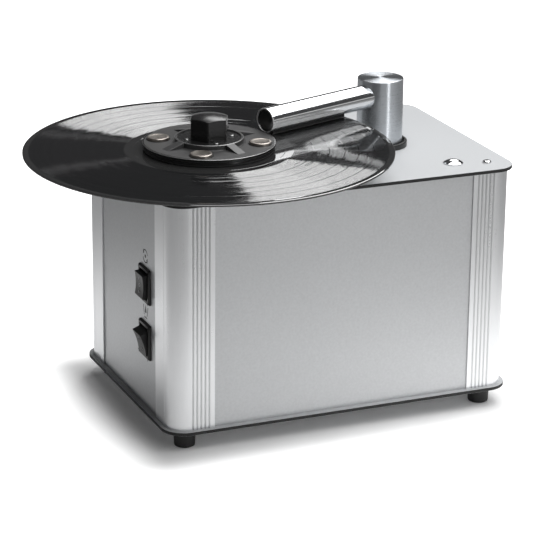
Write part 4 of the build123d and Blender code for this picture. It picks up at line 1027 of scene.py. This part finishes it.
# --------------------------------------------------------------------------------------------------
# Floor, light and camera, in metres
# --------------------------------------------------------------------------------------------------
def pale_floor():
    """A floor that the camera sees white, with painted light on it: what the cabinet reflects and takes
    bounce from is a painted pool of light, white near it and dark grey half a metre out, and the glow the
    camera sees lifts the shadow near the cabinet and whites it out further away.
    """
    shape = bmesh.new()
    floor_radius, below_feet = 14, 0.0002
    bmesh.ops.create_circle(shape, cap_ends=True, segments=64, radius=floor_radius)
    bmesh.ops.translate(shape, verts=shape.verts, vec=(0, 0, -below_feet))
    dull = {"Roughness": 0.9, "Specular IOR Level": 0.0}
    paper = Finish("floor_paper", dull)
    low, high, _ = corners_of("base_plate")
    half = (high - low) / 2 * MILLIMETRE
    x, y, _ = paper.from_middle("base_plate")
    away = distance((x.math("ABSOLUTE") - half.x).math("MAXIMUM", 0.0),
                    (y.math("ABSOLUTE") - half.y).math("MAXIMUM", 0.0))
    # Painted pool of light: the floor's colour runs from white by the cabinet to dark grey half a metre
    # out.
    paper.colour(paper.blend(away.step(0.04, 0.5), grey(0.95), grey(0.05)))
    # Painted light: the glow lifts the shadow by the cabinet a little and whites it out from 5 cm beyond
    # the base.
    glow = away.step(0.0, 0.050) * 0.95 + 0.06
    lit = paper.node("ShaderNodeBsdfPrincipled", {},
                     {"Base Color": grey(0.92), "Emission Color": paper.blend(glow, BLACK, WHITE),
                      "Emission Strength": 1.0, **dull})
    mix = paper.node("ShaderNodeMixShader", {},
                     {0: paper.seen(0.15), 1: paper.shader.outputs[0], 2: lit.outputs[0]})
    paper.feed(paper.tree.nodes["Material Output"].inputs["Surface"], mix.outputs[0])
    shown_shape("floor", shape, paper.material)


def soft_box(name, record, offset, long_axis, length, width, level):
    """A rectangular lamp that faces the record from an offset. The level is its brightness."""
    lamp = bpy.data.lights.new(name, "AREA")
    lamp.shape = "RECTANGLE"
    lamp.size = length
    lamp.size_y = width
    lamp.energy = level * pi * length * width
    back = offset.normalized()
    across = (long_axis - back * back.dot(long_axis)).normalized()
    box = shown(name, lamp)
    box.visible_camera = False
    box.matrix_world = turned_to(record + offset, across, back.cross(across), back)


def glowing_panel(name, corners, level):
    """A flat lamp between four corners, which only the object sees. The level is its brightness."""
    shape = bmesh.new()
    shape.faces.new([shape.verts.new(corner) for corner in corners])
    glow = Finish(name + "_light", {"Base Color": BLACK, "Emission Color": WHITE,
                                    "Emission Strength": level, "Specular IOR Level": 0.0})
    panel = shown_shape(name, shape, glow.material)
    panel.visible_camera = False


def lamps():
    """A wide lamp behind, a large one high on the right and a small one in front on the right."""
    low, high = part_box("record")
    record = (low + high) / 2
    panel_distance, panel_level = 2.5, 4.8
    towards = Vector((0.409, 0.684, 0.604)).normalized()
    level = UP.cross(towards).normalized()
    rise = towards.cross(level)
    corners = [record + (towards + level * across + rise * up) * panel_distance
               for across, up in ((-0.2, 0.435), (0.17, 0.035), (0.17, -0.086), (-0.26, -0.256))]
    glowing_panel("back_panel", corners, panel_level)
    soft_box("key_soft_box", record, Vector((0.4, -0.2, 1.0)), Vector((0, 1, 0)), 1.6, 1.6, 2.9)
    soft_box("front_soft_box", record, Vector((0.6, -1.3, 0.25)), UP, 0.9, 0.25, 4.0)


def dim_room():
    """The world: grey below the horizon, nearly black above it, and white where the camera sees it."""
    world = bpy.data.worlds.new("studio")
    bpy.context.scene.world = world
    room = Nodes(world)
    direction = room.node("ShaderNodeTexCoord", {}, {})
    height = room.along(direction.outputs["Generated"])[2]
    surroundings = room.blend(height.step(0.05, 0.10), grey(0.6), (0.03, 0.03, 0.0315, 1))
    background = room.tree.nodes["Background"]
    room.feed(background.inputs["Color"], room.blend(room.seen(0.03), surroundings, WHITE))
    background.inputs["Strength"].default_value = 1.0


def main_camera():
    """The camera: to the front left and a little above."""
    yaw, pitch, roll = radians(22.80729), radians(19.58691), radians(0.52598)
    place = Vector((-786.971, -1870.813, 833.896)) * MILLIMETRE
    forward = Vector((sin(yaw) * cos(pitch), cos(yaw) * cos(pitch), -sin(pitch)))
    level_right = Vector((cos(yaw), -sin(yaw), 0))
    level_up = level_right.cross(forward)
    right = cos(roll) * level_right + sin(roll) * level_up
    up = cos(roll) * level_up - sin(roll) * level_right
    lens = bpy.data.cameras.new("camera")
    lens.sensor_width = 36
    lens.lens = 173.15
    lens.shift_x = 0.00157
    lens.shift_y = 0.04958
    lens.clip_start = 0.05
    lens.clip_end = 100
    camera = shown("camera", lens)
    camera.matrix_world = turned_to(place, right, up, -forward)
    bpy.context.scene.camera = camera


pale_floor()
lamps()
dim_room()
main_camera()
bpy.context.scene.view_settings.view_transform = "Standard"
